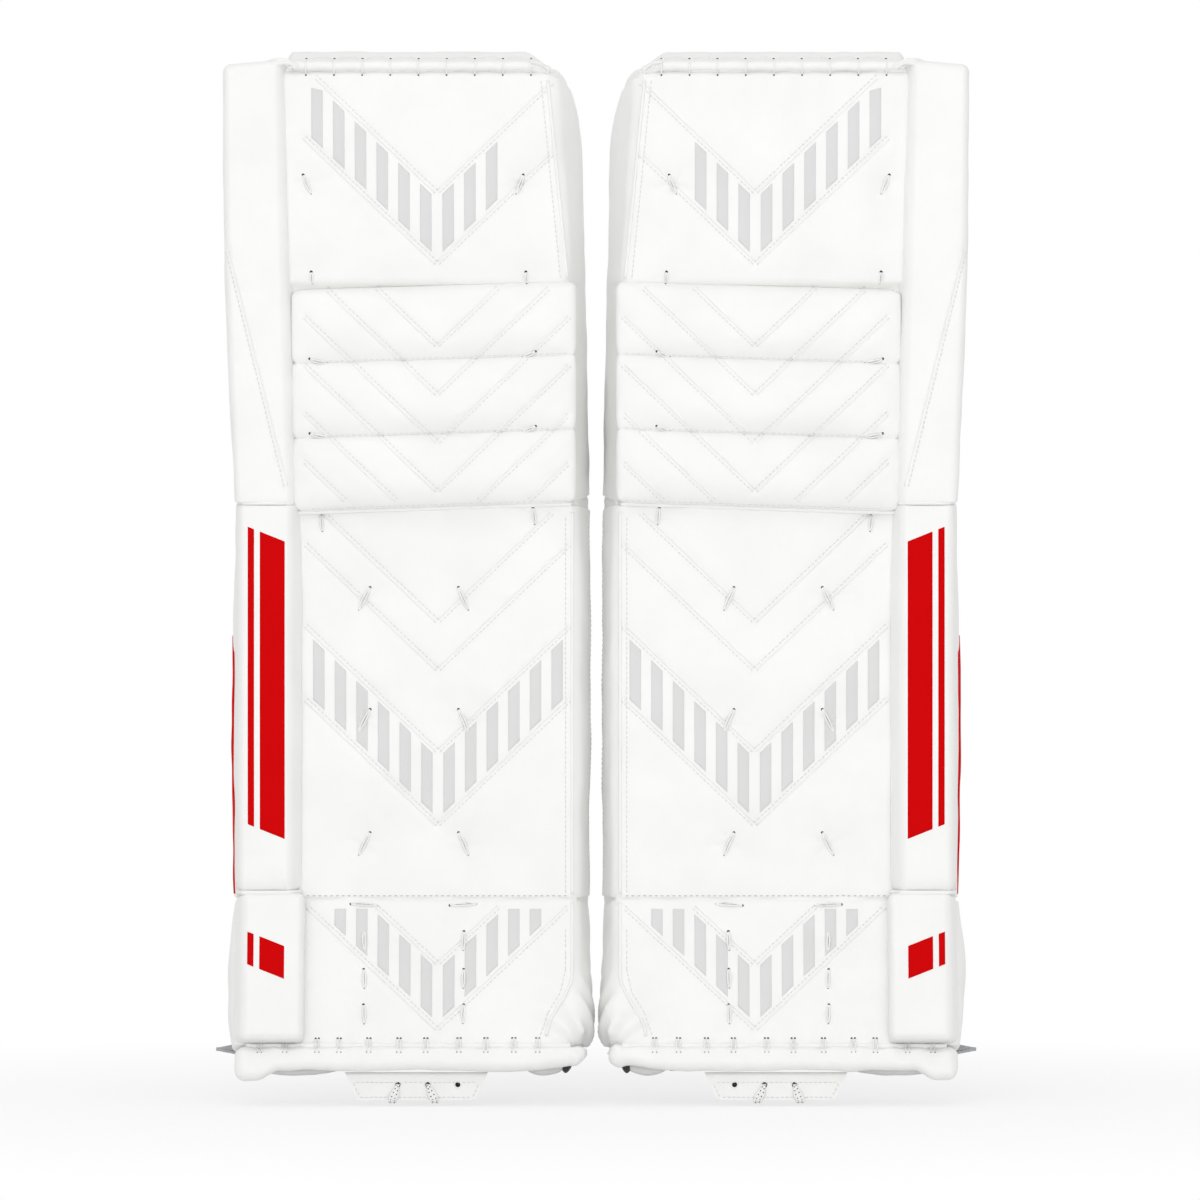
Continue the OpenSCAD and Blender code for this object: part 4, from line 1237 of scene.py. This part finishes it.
def back_panel(pad, section, z_low, z_high, splay=0.0):
    """Woven panel over the back of a section, stitched round its border."""
    name = section.body + "_back"
    low, high = (X_IN + 4, DEPTH - 1.5, z_low), (X_OUT - 3, BACK_Y - 0.6, z_high)
    points, outward, quads = soft_box(low, high, (1.5, 0.8, 1.5), (1.5, 1.4, 1.5), (4, 2, 4))
    x, _, z = points.T
    wave = ripples(pad.seed + 80 + len(section.body), 110, 22)(x, z)
    sunk = 1.0 - crown(points, (low[0], z_low), (high[0], z_high), 1.0, 14)
    lift_face(points, outward, 0.5 * wave + 0.8 - 1.2 * sunk, 1)
    round_corner(points, low[0], z_high, (30, -78) if splay else (12, -12))
    if section is BOOT:
        round_corner(points, low[0], z_low, (26, 26))
    round_corner(points, high[0], z_high, (-12, -12))
    x += splay * z
    pad.piece(name, section, points, quads, NYLON, fill=0.3)
    rows = []
    for inset in (0.0, 3.5):
        corners = rectangle(low[0] + 7 + inset, z_low + 6 + inset, high[0] - 7 - inset, z_high - 6 - inset)
        corners[:, 0] += splay * corners[:, 1]
        rows += zip(corners, np.roll(corners, -1, 0))
    pad.sew(name, section, Surface((points, quads), seen="back"), rows)


def pillow(pad):
    """Quilted pad behind the shin."""
    middle = (INNER_HINGE[0] + OUTER_HINGE[0]) / 2
    low = (middle - PILLOW_HALF, BACK_Y - 0.4, BOOT_Z + 22)
    high = (middle + PILLOW_HALF, BACK_Y + PILLOW_THICK, KNEE_Z - 26)
    points, _, quads = soft_box(low, high, (5, 1, 6), (5, 6, 6), 4)
    for x, way_x in ((low[0], 1), (high[0], -1)):
        for z, way_z in ((low[2], 1), (high[2], -1)):
            round_corner(points, x, z, (22 * way_x, 22 * way_z))
    points, outward, faces = puffed("pillow", points, quads, lambda p: p[:, 1] < BACK_Y + 2)
    relief = Relief(pad.seed + 90, 0.5)
    rows = np.linspace(low[2], high[2], 6)[1:-1]
    relief.sew([((low[0] + 4, z), (high[0] - 4, z)) for z in rows], depth=3.6, width=5.0)
    lift_face(points, outward, relief.height(points[:, 0], points[:, 2]), 1)
    pad.piece("calf_pillow", SHIN, points, faces, LINING, fill=0.7)
    rows = [((low[0] + 6, z), (high[0] - 6, z)) for z in rows]
    pad.sew("calf_pillow", SHIN, Surface((points, faces), seen="back"), rows)


def stack(pad):
    """Knee stack: three landing blocks side by side."""
    for i, material in enumerate((WHITE, LINING, LINING)):
        low = np.array([X_IN + 3 + STACK_BLOCK * i + 0.8, BACK_Y + 0.4, STACK_Z[0]])
        high = np.array([X_IN + 3 + STACK_BLOCK * (i + 1) - 0.8, BACK_Y + STACK_DEPTH, STACK_Z[1]])
        points, _, quads = soft_box(low, high, (4, 4, 7), (4, 9, 7), 4)
        points, outward, faces = puffed(
            f"stack_{i}", points, quads, lambda p: p[:, 1] < BACK_Y + 3, pressure=3.0, cap=1.6, voxel=4.0
        )
        x, y, z = points.T
        push(points, outward, 0.35 * ripples(pad.seed + 95 + i, 60, 14)(y, z))
        groove = np.exp(-(((x - (low[0] + high[0]) / 2) / 1.1) ** 2))
        push(points, outward, -0.8 * groove * (1 - np.abs(outward[:, 0])))
        also = ["knee_stack"] if i == 0 else []
        pad.piece(f"knee_stack_{i + 1}", THIGH, points, faces, material, fill=0.9, also=also)


def wing(pad, name, section, hinge, curl_way, run, curl, height, z_low):
    """A padded flap that runs back from its hinge and curls round the leg."""
    reach = run + curl * CURL_ANGLE

    def bend(points):
        """From (along, out, up) to the section's frame."""
        along, out, up = np.asarray(points, float).T
        turn, radius = np.clip((along - run) / curl, 0, None), curl + out
        x, y = curl_way * (curl - radius * np.cos(turn)), np.minimum(along, run) + radius * np.sin(turn)
        return columns(hinge[0] + x, hinge[1] + y, z_low + up)

    half = WING_HALF - 0.8
    low, high = np.array([0.0, -half, 0.6]), np.array([reach + 3.5, half, height - 0.6])
    points, outward, quads = soft_box(low, high, (2, 3.6, 3.6), (4, 3.6, 3.6), (2.5, 3, 2.5))
    relief = Relief(pad.seed + 120 + len(name), 0.35)
    rows = [((12, z), (reach - 10, z)) for z in np.linspace(0, height, 4 if height > 120 else 3)[1:-1]]
    relief.sew(rows, depth=1.5, width=3.5)
    swell = crown(points, (0, 0), (reach, height), 0.9, power=5) + relief.height(points[:, 0], points[:, 2])
    points[:, 1] += outward[:, 1] * np.clip(swell, -2.2, 1.4)
    round_corner(points, high[0], low[2], (-WING_CORNER, WING_CORNER))
    round_corner(points, high[0], high[2], (-WING_CORNER, -WING_CORNER))
    obj = pad.piece(name, section, bend(points), quads, WHITE, LINING, fill=0.6, body=name)
    inside = outward[quads, 1].mean(1) <= -0.3
    obj.data.polygons.foreach_set("material_index", inside.astype(np.int32))
    edge = np.insert(wing_edge(high[0], low[2], high[2]), 1, 0.0, 1)
    hinge_line = columns(0.0, 0.0, np.linspace(1.5, height - 1.5, 24))
    rim, piping = Parts(tube(bend(edge), WING_RIM, 10)), Parts(tube(bend(hinge_line), WING_PIPING, 14))
    thread = Parts()
    for out in (-1, 1):
        flat, marks = Surface((points * (1, -out, 1), quads)), Parts()
        for a, b in wing_hem(high[0], height) + rows:
            add_stitches(marks, flat, a, b, *COARSE)
        thread.add(bend(np.array(marks.points) * (1, -out, 1)), marks.faces)
    pieces = {"_rim": (rim, WEBBING), "_piping": (piping, WHITE), "_stitches": (thread, SEAM_THREAD)}
    pad.dress(section, {name + kind: piece for kind, piece in pieces.items()}, name)


def wing_edge(far, bottom, top):
    """Places (along, up) round the free edges of a wing."""
    bow = WING_CORNER * np.array([circle_at(t) for t in np.linspace(0, 90, 10)])
    straight, low, high = far - WING_CORNER, bottom + WING_CORNER, top - WING_CORNER
    return np.vstack((
        columns(np.linspace(2, straight, 30), bottom),
        (straight, low) + bow[::-1] * (1, -1),
        columns(far, np.linspace(low + 1, high - 1, 16)),
        (straight, high) + bow,
        columns(np.linspace(straight - 1, 2, 30), top),
    ))


def wing_hem(far, height):
    """Rows of stitches inside a wing's edges."""
    top, end = height - WING_HEM, far - WING_HEM
    hem = [((9, z), (far - 20, z)) for z in (WING_HEM, top)]
    return hem + [((8, WING_HEM), (8, top)), ((end, WING_CORNER), (end, height - WING_CORNER))]


def strap(pad, name, body, section, width, reach, hook, run, curl, height, z_low):
    """Elastic strap that follows a wing's curl, crosses the back and may hook round the far wing."""
    radius = curl + WING_HALF + 1.7
    z_low += (height - width) / 2
    start = np.array([OUTER_HINGE[0] - curl, OUTER_HINGE[1] + run])
    far = start - (reach, 0)
    line = [start + radius * circle_at(t) for t in np.linspace(36, 90, 18)]
    line += [start + (-s, radius) for s in np.linspace(3, reach, 40)]
    if hook:
        line += [far + radius * circle_at(t) for t in np.linspace(92, 90 + hook, 14)]
    line = np.array(line)
    along = unit(np.gradient(line, axis=0))
    out = along[:, ::-1] * (1, -1)
    side = [0.7, *np.linspace(4, width - 4, 8), width - 0.7]
    outline = [(-STRAP_HALF, z) for z in side] + [(-0.6, width), (0.6, width)]
    outline += [(STRAP_HALF, z) for z in side[::-1]] + [(0.6, 0.0), (-0.6, 0.0)]
    deep, up = np.array(outline).T
    deep += np.copysign(0.18 * np.cos(up * math.tau / 6.2), deep)
    flat = line[:, None] + out[:, None] * deep[:, None]
    points, faces = loft(np.dstack((flat, np.tile(z_low + up, (len(line), 1)))))
    pad.piece(name, section, points, faces, WEBBING, body=body)
    tail = far[0] + (-6 if hook else 4)
    tab, corners = Parts(), rectangle(tail, z_low + 4, tail + 34, z_low + width - 4)
    add_patch(tab, Surface((points, faces), seen="back"), corners, step=3.0, lift=0.9)
    pad.dress(section, {name + "_tab": (tab, LINING)}, body)
    over = Surface((points, faces), (tab.points, tab.faces), seen="back")
    a, b, c, d = corners + (corners.mean(0) - corners) * 0.14
    pad.sew(name, section, over, [(a, b), (b, c), (c, d), (d, a), (a, c), (b, d)], FINE, body)


# Boot fittings


def boot_strap_webbing(pad):
    """Pointed grey webbing sewn to the clip of the boot strap."""
    cos, sin = math.cos(CLIP_TILT), math.sin(CLIP_TILT)
    depth, height = BACK_Y + 1 + CLIP_HALF_WIDTH * cos + CLIP_HALF_THICK, COVER_BOTTOM + 8
    base, tip, wide, taper = CLIP_END, WEBBING_TIP + 0.4, 12.7, WEBBING_TAPER

    def tilted(points):
        x, y, z = np.asarray(points, float).T
        return columns(x, depth + y * cos - z * sin, height + y * sin + z * cos)

    rings, narrow = [], WEBBING_TIP - taper
    stretches = [(base - 6.3, base + 3, 16), (base + 4, narrow, 44), (narrow + 1, tip, 20)]
    for x in np.concatenate([np.linspace(*stretch) for stretch in stretches]):
        w = wide * min(1.0, max((tip - x) / (taper + 0.4), 0.03))
        bulge = 1 - (max(abs(x - base + 1.75) - 2.0, 0.0) / 3.0) ** 2
        loop = 4.5 * math.sqrt(max(0.0, bulge)) if x < base + 3 else 0.0
        folded = 1 - smooth((x - base - 24) / 2.5)
        top, low = max(1.45 + 2.5 * folded * (x > base), loop, 0.4), max(1.45 * (x > base), loop, 0.4)
        sides = [(u * w, 1 - 0.25 * abs(u) ** 6) for u in np.linspace(-1, 1, 7)]
        rings.append([(x, u, top * t) for u, t in sides] + [(x, u, -low * t) for u, t in sides[::-1]])
    points, faces = loft(rings)
    pad.piece("boot_strap_webbing", BOOT, tilted(points), faces, GREY_WEBBING, body="boot_strap")
    flat, thread = Surface((points[:, [0, 2, 1]] * (1, -1, 1), faces)), Parts()
    box = [(4, -8, 24, -8), (4, 8, 24, 8), (5, -8, 5, 8), (24, -8, 24, 8), (5, -8, 24, 8), (5, 8, 24, -8)]
    for xa, ua, xb, ub in box:
        add_stitches(thread, flat, (base + xa, ua), (base + xb, ub), *FINE)
    for u in (-10.2, 10.2):
        add_stitches(thread, flat, (base + 28, u), (narrow - 2, u), *COARSE)
    marks = Parts((tilted((np.array(thread.points) * (1, -1, 1))[:, [0, 2, 1]]), thread.faces))
    pad.dress(BOOT, {"boot_strap_stitches": (marks, SEAM_THREAD)}, "boot_strap")


def sole_flaps(pad):
    """Short flaps under the toe roll, and a webbing end beside the inner one."""
    for name, x_low, x_high, drop, material in (
        ("outer_sole_flap", 196, 274, 7.0, PALE),
        ("inner_sole_flap", 24, 57, 7.0, PALE),
        ("inner_sole_tab", 20, 28, 4.5, WEBBING),
    ):
        low, high = (x_low, 14.0, BOOT_BOTTOM - 2), (x_high, 42.0, BOOT_BOTTOM + 10)
        points, outward, quads = soft_box(low, high, (6, 5, 4), (6, 5, 3), 2.5)
        x, y, z = points.T
        u = 2 * (x - x_low) / (x_high - x_low) - 1
        below = np.clip((high[2] - z) / 12, 0, 1)
        z += below * (0.2 * y - drop * (1 - u * u) * 0.8 + 2.0)
        push(points, outward, 0.5 * ripples(pad.seed + 140, 40, 9)(x, y))
        pad.piece(name, BOOT, points, quads, material, fill=0.4)


def bridge_trim(pad):
    """Hem, eyelet rims and washers of the toe bridge."""
    thread, rims, washers, z_top = Parts(), Parts(), Parts(), BRIDGE_HINGE[2] - 4.6
    hem = [(BRIDGE_MID + x, z) for x, z in ((-44, 5.2), (44, 5.2), (49.5, z_top), (-49.5, z_top))]
    for way in (-1, 1):
        at, normal = BRIDGE_Y + way * BRIDGE_HALF_THICK, np.array([0.0, way, 0.0])
        for (xa, za), (xb, zb) in zip(hem, hem[1:] + hem[:1]):
            a, b = np.array([xa, at, za]), np.array([xb, at, zb])
            step = unit(b - a)
            for s in np.arange(2, np.linalg.norm(b - a) - 2, 3.8):
                add_stitch(thread, a + step * s, a + step * (s + 2.6), normal, 0.4)
        for x in EYELETS:
            centre, spin = np.array([x, at, EYELET_Z]), np.linspace(0, math.tau, 25)
            ring = columns(2.5 * np.cos(spin), way * 0.05, 2.5 * np.sin(spin))
            rims.add(*tube(centre + ring, 0.45, 8))
            if way > 0:
                add_disc(washers, centre, normal, 3.4, 0.5)
    pieces = {"toe_bridge_stitches": (thread, THREAD), "toe_bridge_eyelets": (rims, EYELET)}
    pad.dress(SHIN, pieces | {"toe_bridge_washers": (washers, HOLE_SHADE_AND_BLACK)}, "toe_bridge")


def toe_lace(pad):
    """Flat lace with dark flecks, in two rounds through the eyelets and under the toe bridge."""
    lace, flecks, aside = Parts(), Parts(), np.array([1.0, 0.0, 0.0])
    for x, lean in zip(EYELETS[1:], (-5.0, 4.0)):
        path = [(0, 1.0, 15.2), (0.1, -2.9, 14.6), (0.45, -3.2, 9.5), (1, -3.0, 4.0), (1.1, -1.7, 1.5)]
        path += [(1.1, 1.3, 1.5), (1, 3.0, 4.0), (0.45, 3.2, 9.5), (0, 2.9, 14.6), (0, -1.0, 15.0)]
        line = curve_through(np.multiply(path, (lean, 1, 1)) + (x, BRIDGE_Y, 0), 70)
        widths = 3.0 + 3.6 * smooth((14.0 - line[:, 2]) / 6)
        lace.add(*ribbon(line, aside, widths, 1.1))
        for k in range(4, 66, 2):
            along = line[k + 1] - line[k - 1]
            out = unit(np.cross(aside, along))
            out *= 1 if out @ (line[k] - (x, BRIDGE_Y, 9.0)) > 0 else -1
            centre = line[k] + aside * 0.24 * widths[k] * (1 if k % 4 == 0 else -1) + out * 0.3
            add_stitch(flecks, centre - along * 0.32, centre + along * 0.32, out, 0.5)
    pad.dress(SHIN, {"toe_lace": (lace, LACE), "toe_lace_flecks": (flecks, HOLE_SHADE_AND_BLACK)}, "toe_bridge")


# Build

for pad_name in SIDES:
    pad = Pad(pad_name)
    thigh(pad)
    shin(pad)
    boot(pad)
    gusset(pad, "knee", SHIN, THIGH, KNEE_Z, 0.0)
    gusset(pad, "boot", BOOT, SHIN, 0.0, BOOT_Z)
    back_panel(pad, THIGH, 8.5, COVER_TOP - 1, SPLAY)
    back_panel(pad, SHIN, BOOT_Z + 3, KNEE_Z - 3)
    back_panel(pad, BOOT, COVER_BOTTOM + 2, -3.0)
    pillow(pad)
    stack(pad)
    wing(pad, "inner_calf_wing", SHIN, INNER_HINGE, 1, **INNER_WING)
    wing(pad, "outer_calf_wing", SHIN, OUTER_HINGE, -1, **CALF_WING)
    wing(pad, "knee_wing", THIGH, OUTER_HINGE, -1, **KNEE_WING)
    strap(pad, "calf_strap", "outer_calf_wing", SHIN, **CALF_STRAP, **CALF_WING)
    strap(pad, "knee_strap", "knee_wing", THIGH, **KNEE_STRAP, **KNEE_WING)
    boot_strap_webbing(pad)
    sole_flaps(pad)
    bridge_trim(pad)
    toe_lace(pad)

# Finish of the CAD nodes that stay
CAD_FINISH = {"boot_buckle": BLACK_PLASTIC, "boot_strap": BLACK_PLASTIC, "toe_bridge": WHITE}
for pad_name in SIDES:
    for node_name, finish in CAD_FINISH.items():
        cad_materials = frame["nodes"][f"{pad_name}_{node_name}"].data.materials
        cad_materials.clear()
        cad_materials.append(finish)


# Stage, light and camera
IMAGE = 1200
PIXEL = 0.787 * MM
VIEW_MID = (3 * MM, 395 * MM)
CAMERA_DISTANCE = 6.0
CLEAR_WHITE = (1, 1, 1, 1)


def seen_ray(tree):
    """1 for rays that come from the camera, straight or by a mirror or a clear surface."""
    path = add_node(tree, "LightPath").outputs
    total = path["Is Camera Ray"]
    for kind in ("Is Glossy Ray", "Is Transmission Ray"):
        total = add_node(tree, "Math", {0: total, 1: path[kind]}, "MAXIMUM").outputs[0]
    return total


def make_floor(size=8.0, near_share=0.72):
    """A floor that reads as white to the camera and still takes a shadow near the pads."""
    material = bpy.data.materials.new("pale_floor")
    material.use_nodes = True
    tree = material.node_tree
    tree.nodes.clear()
    far = add_node(tree, "VectorMath", {0: add_node(tree, "NewGeometry").outputs["Position"]}, "LENGTH")
    share = {"Value": far.outputs["Value"], "From Min": 0.3, "From Max": 0.9, "To Min": near_share}
    share = add_node(tree, "MapRange", share).outputs["Result"]
    weight = add_node(tree, "Math", {0: share, 1: seen_ray(tree)}, "MULTIPLY").outputs[0]
    dull = add_node(tree, "BsdfDiffuse", {"Color": (0.9, 0.9, 0.9, 1)}).outputs[0]
    glow = add_node(tree, "Emission", {"Color": CLEAR_WHITE}).outputs[0]
    mix = add_node(tree, "MixShader", {"Fac": weight, 1: dull, 2: glow}).outputs[0]
    add_node(tree, "OutputMaterial", {"Surface": mix})
    corners = np.insert(rectangle(-size, -size, size, size), 2, -0.002, 1)
    add_mesh("floor", corners, [[0, 1, 2, 3]], material)


def make_world():
    world = bpy.data.worlds.new("studio")
    bpy.context.scene.world = world
    world.use_nodes = True
    tree = world.node_tree
    light = tree.nodes["Background"]
    set_inputs(tree, light, {"Color": CLEAR_WHITE, "Strength": 0.78})
    seen = add_node(tree, "Background", {"Color": CLEAR_WHITE, "Strength": 1.0})
    mix = add_node(tree, "MixShader", {"Fac": seen_ray(tree), 1: light.outputs[0], 2: seen.outputs[0]})
    set_inputs(tree, tree.nodes["World Output"], {"Surface": mix.outputs[0]})


def add_lamp(name, place, target, size, power):
    lamp = bpy.data.lights.new(name, "AREA")
    lamp.shape, lamp.size, lamp.energy = "SQUARE", size, power
    obj = add_object(name, lamp)
    obj.location = place
    obj.rotation_euler = (Vector(target) - Vector(place)).to_track_quat("-Z", "Y").to_euler()


def make_camera():
    camera = bpy.data.cameras.new("camera")
    camera.sensor_width = 36.0
    camera.lens = camera.sensor_width * (CAMERA_DISTANCE - MID * MM) / (IMAGE * PIXEL)
    camera.clip_end = 50.0
    obj = add_object("camera", camera)
    obj.location = (VIEW_MID[0], -CAMERA_DISTANCE, VIEW_MID[1])
    obj.rotation_euler = (math.pi / 2, 0, 0)
    bpy.context.scene.camera = obj


bpy.context.scene.view_settings.view_transform = "Standard"
make_floor()
make_world()
add_lamp("key", (-0.6, -2.4, 3.0), (0, 0, 0.4), size=1.6, power=12)
add_lamp("left", (-1.5, -4.0, 0.6), (0, 0, 0.4), size=1.4, power=13)
add_lamp("right", (1.5, -4.0, 0.5), (0, 0, 0.4), size=1.4, power=11)
add_lamp("low", (0.3, -2.5, 0.05), (0, 0, 0.3), size=1.0, power=10)
make_camera()
